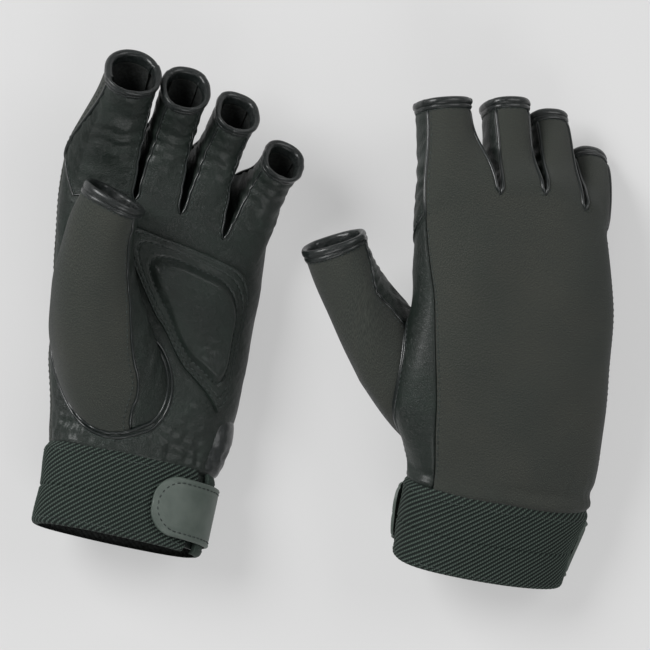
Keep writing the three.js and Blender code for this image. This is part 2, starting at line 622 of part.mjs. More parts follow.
// The cuff's surface under the tab, from its root to its round end; margin insets it, and leaves the root bare.
function tabGrid(glove, margin, middle) {
  const arm = glove.wristHalfWidth; // turns a length round the cuff into an angle, roughly
  const start = lerp(TAB_ROOT, glove.tabReach, margin ? HOOK_START : 0);
  const end = glove.tabReach + margin / arm;
  const halfWidth = TAB_WIDTH / 2 - margin;
  const count = Math.ceil(Math.abs(end - start) / TAB_STEP);
  const rows = spaced(0, 1, count).map((share) => {
    const angle = lerp(start, end, Math.sin((share * Math.PI) / 2));
    const fromEnd = Math.min(Math.abs(angle - end) * arm, TAB_END_RADIUS);
    const rounding = Math.sqrt(1 - (1 - fromEnd / TAB_END_RADIUS) ** 2);
    const reach = lerp(halfWidth - Math.min(TAB_END_RADIUS, halfWidth), halfWidth, rounding) + TAB_EXTRA;
    return spaced(-reach, reach, TAB_COLUMNS)
      .map((d) => layDown(glove, handPoint(glove, d - CUFF_LENGTH / 2, angle)));
  });
  return outward(makeGrid(rows, false), middle);
}

// The blocks of a stall's ring. The outer sides of the index and little fingers belong to their fronts.
function stallPanels(k) {
  const farSide = BACK_STEPS;
  const front = BACK_STEPS + SIDE_STEPS;
  const nearSide = 2 * BACK_STEPS + SIDE_STEPS;
  const end = 2 * (BACK_STEPS + SIDE_STEPS);
  const isFirst = k === 0;
  const isLast = k === FINGERS.length - 1;
  return [
    { name: 'back', columns: [0, farSide], thickness: NEOPRENE, material: 'neoprene' },
    { name: 'front', columns: [isLast ? farSide : front, isFirst ? end : nearSide] },
    ...(isLast ? [] : [{ name: 'little_side_wall', columns: [farSide, front] }]),
    ...(isFirst ? [] : [{ name: 'thumb_side_wall', columns: [nearSide, end] }]),
  ];
}

function addFinger(glove, k, hand, add) {
  const { name, length } = FINGERS[k];
  const panelEnd = length - BINDING_WIDTH;
  const grid = outward(makeGrid(spaced(0, panelEnd, STALL_ROWS - 1).map((d) => fingerRing(glove, k, d))));
  const front = grid.rows[0].slice(BACK_STEPS + SIDE_STEPS, 2 * BACK_STEPS + SIDE_STEPS + 1);
  const base = fingerBase(glove, k);
  const side = turned(glove, base.origin.clone().add(base.side)).sub(turned(glove, base.origin));
  const axis = glove.palmUp ? side : side.negate();
  const stall = hinged(hand, `${glove.name}_${name}`, mean([front[0], front.at(-1)]), axis);
  const half = GAP / 2;
  for (const panel of stallPanels(k)) {
    const { columns, thickness = LEATHER, material = 'leather' } = panel;
    const geometry = shell(grid, { columns, inner: -thickness, outer: 0, trim: [0, GAP, half, half] });
    add(stall, `${name}_${panel.name}`, geometry, material);
  }
  const bound = outward(makeGrid([panelEnd + 2 * GAP, length].map((d) => fingerRing(glove, k, d))));
  add(stall, `${name}_binding`, shell(bound, { inner: -NEOPRENE, outer: BINDING_PROUD }), 'binding');
}

function addThumb(glove, hand, add) {
  const rowsOf = (start, end, count) => spaced(start, end, count).map((share) => thumbRing(glove, share));
  const root = outward(makeGrid(rowsOf(0, THUMB_KNUCKLE - THUMB_KNUCKLE_GAP, THUMB_ROOT_ROWS - 1)));
  const tip = outward(makeGrid(rowsOf(THUMB_KNUCKLE, THUMB_PANEL_END, THUMB_TIP_ROWS - 1)));
  const { origin, along } = thumbTube(glove).frameAt(THUMB_KNUCKLE);
  const turnedBy = (direction) => turned(glove, origin.clone().add(direction)).sub(turned(glove, origin));
  const flex = turnedBy(vec(...glove.thumbFlex)).normalize();
  const pivot = [...tip.rows[0]].sort((a, b) => b.dot(flex) - a.dot(flex))[0];
  const thumb = hinged(hand, `${glove.name}_thumb`, pivot, turnedBy(along).cross(flex));
  const [first, last] = glove.thumbSeams;
  const spans = [
    { name: 'back', columns: [first, last], thickness: NEOPRENE, material: 'neoprene' },
    { name: 'inner', columns: [last, first + THUMB_STEPS], thickness: LEATHER, material: 'leather' },
  ];
  for (const { name, columns, thickness, material } of spans) {
    const pared = (r) => -lerp(THUMB_SEAM_THICKNESS, LEATHER, (r / (THUMB_ROOT_ROWS - 1)) ** 2);
    const edge = [THUMB_TRIM, THUMB_TRIM];
    const rootPanel = shell(root, { columns, inner: pared, outer: 0, trim: [0, 0, ...edge] });
    const tipPanel = shell(tip, { columns, inner: -thickness, outer: 0, trim: [GAP, GAP, ...edge] });
    add(hand, `thumb_root_${name}`, rootPanel, material);
    add(thumb, `thumb_${name}`, tipPanel, material);
  }
  const bound = outward(makeGrid(rowsOf(THUMB_PANEL_END + THUMB_KNUCKLE_GAP / 2, 1, 1)));
  add(thumb, 'thumb_binding', shell(bound, { inner: -NEOPRENE, outer: BINDING_PROUD }), 'binding');
}

// ---- the pair ----
const pair = new THREE.Group();
pair.name = 'sailing_gloves';
for (const glove of GLOVES) pair.add(buildGlove(glove));
const box = new THREE.Box3().setFromObject(pair, true);
const centre = box.getCenter(vec(0, 0, 0));
pair.position.set(-centre.x, -centre.y, -box.min.z);

export default pair;
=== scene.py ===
"""A pair of short-finger sailing gloves: the left one palm up, the right one back up, each in its worn shape.

The gloves' surfaces are worked out here from the same driving dimensions as the CAD part, in millimetres, in
the layout frame that the part is drawn in. Each panel is a fine shell over one of those surfaces, with its
wrinkles, rolled edges, bindings, piping and stitches as geometry. place_in_row() turns layout millimetres into
metres of the frame.
"""

import math

import bpy
import numpy as np
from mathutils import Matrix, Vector


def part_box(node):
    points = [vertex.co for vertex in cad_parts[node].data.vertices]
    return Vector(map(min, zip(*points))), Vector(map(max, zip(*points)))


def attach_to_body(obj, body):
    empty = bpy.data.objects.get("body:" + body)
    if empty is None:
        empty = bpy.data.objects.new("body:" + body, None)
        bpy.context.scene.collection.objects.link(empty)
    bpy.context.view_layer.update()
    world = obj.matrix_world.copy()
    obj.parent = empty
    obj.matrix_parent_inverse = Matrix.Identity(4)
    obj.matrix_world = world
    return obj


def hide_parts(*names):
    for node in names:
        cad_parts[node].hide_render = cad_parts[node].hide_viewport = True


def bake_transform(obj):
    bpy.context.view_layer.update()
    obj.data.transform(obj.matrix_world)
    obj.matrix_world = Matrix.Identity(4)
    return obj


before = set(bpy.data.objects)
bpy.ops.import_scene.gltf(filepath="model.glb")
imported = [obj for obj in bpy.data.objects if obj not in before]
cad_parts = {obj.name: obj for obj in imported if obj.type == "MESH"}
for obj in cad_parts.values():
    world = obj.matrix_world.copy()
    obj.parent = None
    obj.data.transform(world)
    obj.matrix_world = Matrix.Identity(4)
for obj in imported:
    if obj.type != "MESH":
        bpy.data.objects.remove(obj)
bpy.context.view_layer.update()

MM = 0.001
rad = math.radians

# ---- the hand, as in the CAD part (millimetres and radians) ----
HAND_LENGTH = 128
HAND_BEND = rad(22)
SQUARENESS = 2.4
HALF_WIDTH = [(40, 43), (80, 45), (HAND_LENGTH, 43.5)]
BACK_HEIGHT = [(0, 19), (40, 18.5), (80, 18), (HAND_LENGTH, 15.5)]
PALM_HEIGHT = [(0, 19), (40, 20), (80, 19), (HAND_LENGTH, 15.5)]
LITTLE_SEAM = rad(6)
PALM_EDGE = rad(28)
CROTCH_DISTANCE = [121, 129, 128, 121, 112]
PALM_CROTCH_DROP = 16
FINGERS = [
    {"name": "index", "half_width": 11.6, "half_height": 11.6, "length": 55, "seam": rad(30), "morph": 48},
    {"name": "middle", "half_width": 9.9, "half_height": 11.2, "length": 50, "seam": rad(44), "morph": 30},
    {"name": "ring", "half_width": 9.4, "half_height": 10.8, "length": 48, "seam": rad(44), "morph": 30},
    {"name": "little", "half_width": 8.8, "half_height": 10, "length": 40, "seam": rad(36), "morph": 30},
]
SLIT_CLEARANCE = 1.1
HOLE = {"distance": 43, "half_length": 35, "half_angle": rad(42), "slant": rad(16)}
THUMB_HALF_WIDTH = 13.6
THUMB_HALF_HEIGHT = 12.6
THUMB_LIFT = 6
THUMB_MORPH = 0.95
THUMB_KNUCKLE = 0.52
PATCH = {
    "thumb_top": (104, rad(-116)), "little_top": (91, rad(-34)),
    "thumb_bottom": (46, rad(-80)), "little_bottom": (26, rad(-42)),
}
CUFF_LENGTH = 35
VENT = (rad(-44), rad(-32))
TAB_ROOT = rad(-6)
TAB_WIDTH = 25
TAB_END_RADIUS = 11
HOOK_MARGIN = 3
NEOPRENE = 2.4
LEATHER = 1.4
WEBBING = 2
TAB = 1.3
HOOK = 1
PAD = 2
LAYER_GAP = 0.6
BINDING_PROUD = 0.5
PRESSED = 2.5
FOOT_DEPTH = 0.8
SWAY_LENGTH = 50
CAD_HAND_ROWS = 9
CAD_CUFF_STEPS = 32
# columns of the hand's ring, and of a stall's ring, at the panels' edges
HAND_KNOTS = [0, 4, 8, 12, 16, 18, 22, 26, 30, 34, 36]
STALL_KNOTS = [0, 4, 6, 10, 12]
BACK_END, PALM_END, HAND_COLUMNS = 16, 34, 36
STALL_COLUMNS = 12
THUMB_STEPS = 20

GLOVES = [
    {
        "name": "left", "palm_up": True, "place": (-84, -59),
        "yaw": rad(-11), "roll": rad(12), "pitch": rad(-9), "sway": 0,
        "cuff_half_width": 36, "wrist_half_width": 36.5, "bulge": [(60, 0), (HAND_LENGTH, 7)],
        "lean": -8, "seam": [(0, rad(-2)), (1, rad(-2))], "index_seam": rad(-22),
        "partings": [-0.38, 0.04, 0.5],
        "fan": [rad(a) for a in (-4, -3, 4, 11)], "curl": [rad(a) for a in (38, 40, 36, 40)], "under": 0,
        "hole_angle": rad(232), "thumb_tip": (-38, 104, -49), "thumb_aim": (0.08, 0.88, -0.45),
        "thumb_back": (-0.35, 0, -0.93), "tab_reach": rad(-80),
        "thumb_seams": ([(0, 8.6), (0.25, 7.3), (0.55, 6.4), (0.85, 6.4), (1, 7.2)], [(0, 17), (1, 17)]),
    },
    {
        "name": "right", "palm_up": False, "place": (74, -73),
        "yaw": rad(-15), "roll": rad(24), "pitch": rad(12),
        "sway": rad(12), "cuff_half_width": 38, "wrist_half_width": 42, "bulge": [(0, 0), (42, 11), (95, 0)],
        "lean": 1, "seam": [(0, rad(34)), (45, rad(45)), (HAND_LENGTH, rad(20))], "index_seam": rad(30),
        "partings": [-0.22, 0.26, 0.69],
        "fan": [rad(a) for a in (0, 2.5, 4.5, 10)], "curl": [rad(a) for a in (6, 12, 34, 55)], "under": 4.6,
        "hole_angle": rad(224), "thumb_tip": (-78, 110, -26), "thumb_aim": (-0.43, 0.87, -0.25),
        "thumb_back": (-0.4, 0.1, 0.9), "tab_reach": rad(-160),
        "thumb_seams": ([(0, 8), (1, 8)], [(0, 18.8), (0.5, 17.6), (1, 18.2)]),
    },
]

# ---- what only the looks need (millimetres) ----
# an uneven field as (height, wavelength, seed)
NEOPRENE_SWELL = (0.6, 34, 2)
LEATHER_SWELL = (0.45, 24, 4)
LEATHER_CREASES = (0.22, 4.5, 5)
LEATHER_GRAIN = (0.07, 3.2, 6)
CREASE_STRETCH = (1, 0.45, 1)
CREASE_END = 45  # the creases fade out over this distance from the cuff
PLEATS = 30  # gathered folds at the cuff, in radians of wave for each radian round the hand
PLEAT_HEIGHT = 0.3
PLEAT_FADE = ([0, 6, 20], [1, 0.8, 0])
CRUSH = {"height": 0.2, "pace": 1.1, "middle": 10, "width": 9}
TUCK_DEPTH = 1.8
# the fold over the right cuff, as (height, distance, width) of its ridge and its hollow
FOLD = ((1.2, 3, 1.7), (-0.7, 7.5, 1.8))
FINGER_FOLDS = {"height": 0.26, "pace": 0.95, "wander": 1.8, "away": 0.2}
FINGER_JOINT = (0.48, 11)  # share of the stall's length, and the width of the folds there
PINCH = (-0.35, 4.6, 1.6)  # the stitched groove's depth, its distance from the stall's end, and its width
THUMB_FOLDS = {"height": 0.16, "pace": 46, "wander": 2}
CUFF_SEAM = (-0.55, 0.52, 0.6)  # depth, share of the cuff's length, width
CUFF_HEM = 2.2
CUFF_SWELL = 0.9
BAND_HEIGHT = 0.5
BAND_EDGE = 0.8
UV_SCALE = 100.0  # millimetres of cloth for each unit of the UV map
MESH_STEP = 1.1
CUFF_STEP = 0.42
EDGE_LINES = [0.0, 0.25, 0.6, 1.1]
ROLL_RADIUS = 1.3
TUCK = 7  # how far the hand's panels run down inside the cuff
TUCK_SPAN = 120  # the mean length of the hand's columns, which the tuck is a share of
BACK_WIDTH, PALM_WIDTH = 105, 130  # of the flat panels round the hand
PIPING_RADIUS = 0.8
THIN_ROLL = 0.6  # of the piping's radius
STITCH_PITCH = 2.6
STITCH_LENGTH = 1.9
THREAD_RADIUS = 0.26
RIB_PITCH = 1.7
RIB_SLOPE = rad(38)
RIB_HEIGHT = 0.2
BEAD_PITCH = 1.1
KNIT_PITCH = 0.9
VENT_BULGE = {"angles": (rad(-42), rad(16)), "distances": (-4, 27), "height": 3.4}
STALL_BEND_LENGTH = 20
THUMB_BEND_LENGTH = 16
THUMB_THINNER = 0.6  # the thumb's panels, as a share of the other panels' thickness
CUFF_BAND = 15  # the smooth band along the edge of the cuff at the vent


# ---- small helpers ----
def signed_power(value, power):
    return np.sign(value) * np.abs(value) ** power


def smoothstep(value, low, high):
    share = np.clip((value - low) / (high - low), 0, 1)
    return share * share * (3 - 2 * share)


def hump(value, centre, width):
    """1 at the centre, falling smoothly to nothing over about twice the width."""
    return np.exp(-(((value - centre) / width) ** 2))


def mix(a, b, share):
    return a + (b - a) * share


def from_table(table, at):
    value = np.zeros(np.shape(at)) + table[0][1]
    for (start, a), (end, b) in zip(table, table[1:]):
        value = np.where(np.asarray(at) > start, mix(a, b, smoothstep(at, start, end)), value)
    return value


def stack(x, y, z):
    return np.stack(np.broadcast_arrays(x, y, z), axis=-1).astype(float)


def unit(v):
    return v / np.maximum(np.linalg.norm(v, axis=-1, keepdims=True), 1e-12)


def spaced(a, b, length, step=MESH_STEP):
    """Values from a to b for a span of that length, with extra lines near either end for a rolled edge."""
    middle = np.linspace(0, 1, max(int(round(length / step)), 6) + 1)
    edge = np.array(EDGE_LINES) / length
    inside = middle[(middle > edge[-1] * 1.4) & (middle < 1 - edge[-1] * 1.4)]
    return a + (b - a) * np.concatenate([edge, inside, 1 - edge[::-1]])


def superellipse(angle, half_width, back_height, palm_height):
    height = np.where(np.sin(angle) > 0, back_height, palm_height)
    power = 2 / SQUARENESS
    return half_width * signed_power(np.cos(angle), power), height * signed_power(np.sin(angle), power)


def ripple(points, wavelength, seed, stretch=(1, 1, 1)):
    """A smooth uneven field of about -1 to 1 over points, the same on every run."""
    draw = np.random.default_rng(seed)
    total = np.zeros(points.shape[:-1])
    for _ in range(7):
        direction = unit(draw.normal(size=3)) * np.array(stretch)
        pace = 2 * math.pi / (wavelength * draw.uniform(0.75, 1.4))
        total = total + np.sin(points @ direction * pace + draw.uniform(0, 6.28))
    return total / 3


# ---- the hand's tube ----
def hand_angle(glove, along, column):
    """The section's angle at a column of the hand's ring; the thumb-side seam's height depends on along."""
    inner = [math.acos(signed_power(share, SQUARENESS / 2)) for share in glove["partings"]]
    seam = from_table(glove["seam"], along)
    under = [-angle for angle in reversed(inner)]
    knots = [math.pi - seam, *inner, LITTLE_SEAM, -PALM_EDGE, *under, PALM_EDGE - math.pi, -seam - math.pi]
    turns = np.floor(np.asarray(column) / HAND_COLUMNS)
    place = column - turns * HAND_COLUMNS
    angle = knots[0] + np.zeros(np.shape(place))
    for i in range(len(knots) - 1):
        start, end = HAND_KNOTS[i], HAND_KNOTS[i + 1]
        share = np.clip((place - start) / (end - start), 0, 1)
        angle = np.where(place > start, mix(knots[i], knots[i + 1], share), angle)
    return angle - turns * 2 * math.pi


def crotch_distance(column):
    palm = [distance - PALM_CROTCH_DROP for distance in reversed(CROTCH_DISTANCE)]
    knots = [*CROTCH_DISTANCE, *palm, CROTCH_DISTANCE[0]]
    return np.interp(np.mod(column, HAND_COLUMNS), HAND_KNOTS, knots)


def spine_frame(distance):
    distance = np.asarray(distance, float)
    radius = HAND_LENGTH / HAND_BEND
    turn = np.maximum(distance, 0) / radius
    along = stack(0, np.cos(turn), -np.sin(turn))
    origin = stack(0, radius * np.sin(turn), -radius * (1 - np.cos(turn)))
    origin = origin + along * np.minimum(distance, 0)[..., None]
    side = stack(1 + 0 * turn, 0, 0)
    return {"origin": origin, "side": side, "along": along, "up": stack(0, np.sin(turn), np.cos(turn))}


def in_frame(base, side, along, up):
    parts = zip((base["side"], base["along"], base["up"]), (side, along, up))
    return base["origin"] + sum(axis * np.asarray(amount)[..., None] for axis, amount in parts)


def knuckle_shift(glove, distance):
    return glove["lean"] * smoothstep(distance, 0, HAND_LENGTH)


def hand_point(glove, distance, angle):
    table = [(-CUFF_LENGTH, glove["cuff_half_width"]), (0, glove["wrist_half_width"]), *HALF_WIDTH]
    bulge = np.where(np.cos(angle) < 0, from_table(glove["bulge"], distance), 0)
    width = from_table(table, distance) + bulge
    x, z = superellipse(angle, width, from_table(BACK_HEIGHT, distance), from_table(PALM_HEIGHT, distance))
    return in_frame(spine_frame(distance), x + knuckle_shift(glove, distance), 0 * x, z)


def rotated(points, axis, angle):
    """Points turned about a coordinate axis: 0 is x, 1 is y and 2 is z."""
    i, j = [(1, 2), (2, 0), (0, 1)][axis]
    out = points.copy()
    out[..., i] = points[..., i] * math.cos(angle) - points[..., j] * math.sin(angle)
    out[..., j] = points[..., i] * math.sin(angle) + points[..., j] * math.cos(angle)
    return out


def turned(glove, points):
    p = np.array(points, float)
    if glove["sway"]:
        radius = SWAY_LENGTH / glove["sway"]
        bent = np.clip(p[..., 1], 0, SWAY_LENGTH)
        angle, rest, x = bent / radius, p[..., 1] - bent, p[..., 0] + radius
        across = x * np.cos(angle) - rest * np.sin(angle) - radius
        p = stack(across, x * np.sin(angle) + rest * np.cos(angle), p[..., 2])
    if glove["palm_up"]:
        p[..., 2] *= -1
    return rotated(rotated(rotated(p, 1, glove["roll"]), 0, glove["pitch"]), 2, glove["yaw"])


def lay_down(glove, points, under):
    p = turned(glove, points)
    height = p[..., 2] + glove["height"]
    eased = np.where(height <= -PRESSED, 0, (height + PRESSED) ** 2 / (4 * PRESSED))
    pressed = np.where(height >= PRESSED, height, eased)
    x, y = glove["place"]
    return stack(p[..., 0] + x, p[..., 1] + y, under + pressed)


def resting_height(glove):
    rows = np.linspace(0, HAND_LENGTH, CAD_HAND_ROWS + 1)[:, None]
    angles = hand_angle(glove, rows, np.arange(HAND_COLUMNS)[None, :])
    return -PRESSED - FOOT_DEPTH - turned(glove, hand_point(glove, rows, angles))[..., 2].min()


# ---- finger stalls and the thumb ----
def curl_frame(base, curl, length, distance):
    radius = length / curl
    turn = np.asarray(distance) / radius
    c, s = np.cos(turn)[..., None], np.sin(turn)[..., None]
    origin = base["origin"] + base["along"] * radius * s - base["up"] * radius * (1 - c)
    along, up = base["along"] * c - base["up"] * s, base["up"] * c + base["along"] * s
    return {"origin": origin, "side": base["side"] + 0 * c, "along": along, "up": up}


def finger_base(glove, k):
    distance = (CROTCH_DISTANCE[k] + CROTCH_DISTANCE[k + 1] - PALM_CROTCH_DROP) / 2
    base = spine_frame(distance)
    shares = [-1, *glove["partings"], 1]
    middle = from_table(HALF_WIDTH, distance) * (shares[k] + shares[k + 1]) / 2
    fan = glove["fan"][k]
    return {
        "origin": in_frame(base, middle + knuckle_shift(glove, distance), 0, 0),
        "side": base["side"] * math.cos(fan) - base["along"] * math.sin(fan),
        "along": base["along"] * math.cos(fan) + base["side"] * math.sin(fan),
        "up": base["up"],
    }


def finger_slice(glove, k, column):
    """The hand's section where finger k leaves it, over the columns of the stall's ring."""

    def hand(c):
        return hand_point(glove, crotch_distance(c), hand_angle(glove, HAND_LENGTH, c))

    first, last = k == 0, k == len(FINGERS) - 1
    back_start, front_start = 4 * k, PALM_END - 4 * (k + 1)
    back = hand(back_start + np.clip(column, 0, 4))
    front = hand(front_start + np.clip(column - 6, 0, 4))
    far = np.clip((column - 4) / 2, 0, 1)[..., None]
    near = np.clip((column - 10) / 2, 0, 1)[..., None]
    far_side = hand(BACK_END + np.clip(column - 4, 0, 2)) if last else mix(back, front, far)
    first_side = hand(PALM_END + np.clip(column - 10, 0, 2))
    near_side = first_side if first else mix(front, hand(back_start + 0 * column), near)
    column = column[..., None]
    palm_half = np.where(column <= 10, front, near_side)
    return np.where(column <= 4, back, np.where(column < 6, far_side, palm_half))


def slit_shift(k, column):
    """Sideways room towards the neighbours: 1 at the wall on the thumb's side and -1 at the other wall."""
    near, far = (0 if k == 0 else 1), (0 if k == len(FINGERS) - 1 else -1)
    return np.interp(column, [0, 1, 2, 3, 7, 8, 9, 12], [near, near, 0, far, far, 0, near, near])


def stall_section(glove, k, column):
    finger = FINGERS[k]
    seam = finger["seam"]
    thumb_seam = glove["index_seam"] if k == 0 else seam
    knots = [math.pi - thumb_seam, seam, -seam, seam - math.pi, -thumb_seam - math.pi]
    angle = np.interp(column, STALL_KNOTS, knots)
    return superellipse(angle, finger["half_width"], finger["half_height"], finger["half_height"])


def faded(base, moved, ring, section, share):
    offset = ring - base["origin"]
    x, z = section
    side, along, up = ((offset * base[axis]).sum(-1) for axis in ("side", "along", "up"))
    return in_frame(moved, mix(side, x, share), mix(along, 0, share), mix(up, z, share))


def finger_point(glove, k, column, distance):
    finger = FINGERS[k]
    base = finger_base(glove, k)
    column, distance = np.broadcast_arrays(np.mod(column, STALL_COLUMNS), np.asarray(distance, float))
    share = smoothstep(distance, 0, finger["morph"])
    ring = finger_slice(glove, k, column)
    ring[..., 0] += SLIT_CLEARANCE * slit_shift(k, column) * smoothstep(distance, 0, 4)
    moved = curl_frame(base, glove["curl"][k], finger["length"], distance)
    under = mix(glove["under"], BINDING_PROUD, share)
    return lay_down(glove, faded(base, moved, ring, stall_section(glove, k, column), share), under)


def hole_place(glove, turn, reach):
    along = HOLE["half_length"] * np.cos(turn) * reach
    around = (HOLE["half_angle"] * np.sin(turn) - HOLE["slant"] * np.cos(turn)) * reach
    return HOLE["distance"] + along, glove["hole_angle"] + around


def thumb_frame(glove, share):
    steps = np.arange(THUMB_STEPS) * 2 * math.pi / THUMB_STEPS
    start = hand_point(glove, *hole_place(glove, steps, 1)).mean(axis=0)
    tip = np.array(glove["thumb_tip"], float)
    away = unit(start - spine_frame(HOLE["distance"])["origin"])
    reach = 0.45 * np.linalg.norm(tip - start)
    bend = tip - unit(np.array(glove["thumb_aim"])) * reach + away * THUMB_LIFT
    s = np.asarray(share, float)[..., None]
    origin = start * (1 - s) ** 2 + bend * 2 * s * (1 - s) + tip * s**2
    along = unit((bend - start) * (1 - s) + (tip - bend) * s)
    side = unit(np.cross(along, np.array(glove["thumb_back"])))
    return {"origin": origin, "side": side, "along": along, "up": np.cross(side, along)}


def thumb_point(glove, column, share):
    column, share = np.broadcast_arrays(np.asarray(column, float), np.asarray(share, float))
    turn = column * 2 * math.pi / THUMB_STEPS
    base = thumb_frame(glove, 0)

    def rim(at):
        return hand_point(glove, *hole_place(glove, at, 1))

    def facing(at):
        offset = rim(np.asarray(at, float)) - base["origin"]
        return math.atan2((offset * base["up"]).sum(), (offset * base["side"]).sum())

    first = facing(0)
    turning = np.sign(math.sin(facing(4 * math.pi / THUMB_STEPS) - first))
    section = superellipse(first + turning * turn, THUMB_HALF_WIDTH, THUMB_HALF_HEIGHT, THUMB_HALF_HEIGHT)
    grown = smoothstep(share, 0, THUMB_MORPH)
    ring = faded(base, thumb_frame(glove, share), rim(turn), section, grown)
    return lay_down(glove, ring, mix(glove["under"], 0, grown))


# ---- surfaces that panels, piping and stitches lie on ----
class Skin:
    """A surface place(u, v) with an outward normal and a relief(u, v, points), in layout millimetres."""

    def __init__(self, place, middle, relief, pace, limits):
        self.place, self.relief, self.pace, self.limits, self.sign = place, relief, pace, limits, 1
        u = np.linspace(*limits[0], 9)[None, :]
        v = np.linspace(*limits[1], 9)[:, None]
        points, normals = self.bare(u + 0 * v, v + 0 * u)
        self.sign = np.sign(((points - middle) * normals).sum())

    def bare(self, u, v):
        du, dv = self.pace
        low, high = self.limits[1]
        across = self.place(u + du, v) - self.place(u - du, v)
        along = self.place(u, np.minimum(v + dv, high)) - self.place(u, np.maximum(v - dv, low))
        return self.place(u, v), self.sign * unit(np.cross(across, along))

    def at(self, u, v, lift=0.0):
        """The points and normals at u, v, raised by lift over the relief."""
        u, v = np.broadcast_arrays(np.asarray(u, float), np.asarray(v, float))
        points, normals = self.bare(u, v)
        raised = self.relief(u, v, points) + lift
        return points + normals * raised[..., None], normals


def uneven(points, wave, stretch=(1, 1, 1)):
    height, wavelength, seed = wave
    return height * ripple(points, wavelength, seed, stretch)


def crush(distance, points):
    """Short folds where the palm's leather is pushed together above the cuff."""
    wave = np.sin(distance * CRUSH["pace"] + 2.4 * ripple(points, 16, 7))
    return CRUSH["height"] * wave * hump(distance, CRUSH["middle"], CRUSH["width"])


def hand_skin(glove):
    def relief(angle, distance, points):
        palm_side = smoothstep(-np.sin(angle), -0.05, 0.25)
        pleats = np.sin(angle * PLEATS + 2 * ripple(points, 14, 3)) * PLEAT_HEIGHT
        pleats = pleats * np.interp(distance, *PLEAT_FADE)
        creases = uneven(points, LEATHER_CREASES, CREASE_STRETCH)
        creases = creases * smoothstep(CREASE_END - distance, 0, CREASE_END)
        leather = uneven(points, LEATHER_SWELL) + pleats * 1.2 + creases + crush(distance, points)
        leather = leather + uneven(points, LEATHER_GRAIN)
        neoprene = uneven(points, NEOPRENE_SWELL) + pleats * 0.5
        tucked = -TUCK_DEPTH * smoothstep(-distance, -1.5, 1.5)
        fold = 0
        if not glove["palm_up"]:
            ridge = sum(height * hump(distance, at, width) for height, at, width in FOLD)
            fold = ridge * smoothstep(2.3 - angle, 0, 1.2) * (1 - palm_side)
        return mix(neoprene, leather, palm_side) * smoothstep(distance, -2, 8) + tucked + fold

    def place(angle, distance):
        return lay_down(glove, hand_point(glove, distance, angle), glove["under"])

    middle = lay_down(glove, spine_frame(HAND_LENGTH / 2)["origin"], 0)
    limits = ((0, 2 * math.pi), (-CUFF_LENGTH, HAND_LENGTH + 2))
    return Skin(place, middle, relief, (0.01, 0.4), limits)


def finger_skin(glove, k):
    length = FINGERS[k]["length"]

    def relief(column, distance, points):
        on_back = np.mod(column, STALL_COLUMNS) <= 4
        joint = hump(distance, FINGER_JOINT[0] * length, FINGER_JOINT[1])
        wave = np.sin(distance * FINGER_FOLDS["pace"] + FINGER_FOLDS["wander"] * ripple(points, 15, 20 + k))
        folds = FINGER_FOLDS["height"] * wave * (FINGER_FOLDS["away"] + joint)
        leather = folds + uneven(points, (0.1, 4, 30 + k)) + uneven(points, (0.26, 15, 40 + k))
        neoprene = uneven(points, (0.4, 24, 50 + k))
        hand_side = np.where(on_back, uneven(points, NEOPRENE_SWELL), uneven(points, LEATHER_SWELL))
        pinch = PINCH[0] * hump(distance, length - PINCH[1], PINCH[2])
        return mix(hand_side, np.where(on_back, neoprene, leather), smoothstep(distance, 0, 8)) + pinch

    def place(column, distance):
        return finger_point(glove, k, column, distance)

    columns = np.arange(0, STALL_COLUMNS, 0.5)[None, :]
    middle = place(columns, np.linspace(0, length, 5)[:, None]).reshape(-1, 3).mean(0)
    return Skin(place, middle, relief, (0.02, 0.3), ((0, STALL_COLUMNS), (-1, length + 2)))


def thumb_skin(glove):
    def relief(column, share, points):
        wave = np.sin(share * THUMB_FOLDS["pace"] + THUMB_FOLDS["wander"] * ripple(points, 16, 61))
        leather = wave * THUMB_FOLDS["height"] + uneven(points, (0.14, 5, 62))
        start, end = (from_table(table, share) for table in glove["thumb_seams"])
        past, across = np.mod(column - start, THUMB_STEPS), end - start
        is_leather = np.maximum(1 - smoothstep(past, 0, 0.3), smoothstep(past, across - 0.3, across))
        return mix(uneven(points, (0.45, 26, 63)), leather, is_leather) * smoothstep(share, 0.02, 0.12)

    def place(column, share):
        return thumb_point(glove, column, share)

    middle = place(np.arange(THUMB_STEPS)[None, :], np.linspace(0, 1, 5)[:, None]).reshape(-1, 3).mean(0)
    return Skin(place, middle, relief, (0.02, 0.004), ((0, THUMB_STEPS), (0, 1.03)))


def arc_lengths(glove):
    """How far round the cuff each angle is, as a table of angles and lengths."""
    angles = np.linspace(VENT[0] - 0.5, VENT[1] + 2 * math.pi + 0.5, 1500)
    ring = hand_point(glove, -CUFF_LENGTH / 2, angles)
    return angles, np.concatenate([[0], np.cumsum(np.linalg.norm(np.diff(ring, axis=0), axis=1))])


def rib_wave(around, distance):
    """The relief of the diagonal ribs, from -1 to 1."""
    across = around * math.sin(RIB_SLOPE) + distance * math.cos(RIB_SLOPE)
    return np.sin(2 * math.pi * across / RIB_PITCH)


def rib_side(glove):
    """-1 where the way round the cuff runs from the left to the right of the side that shows, else 1."""
    return -1 if glove["palm_up"] else 1


def past_band(from_vent):
    """0 over the smooth band along the cuff's edge at the vent, and 1 past it."""
    return smoothstep(from_vent, CUFF_BAND - BAND_EDGE, CUFF_BAND + BAND_EDGE)


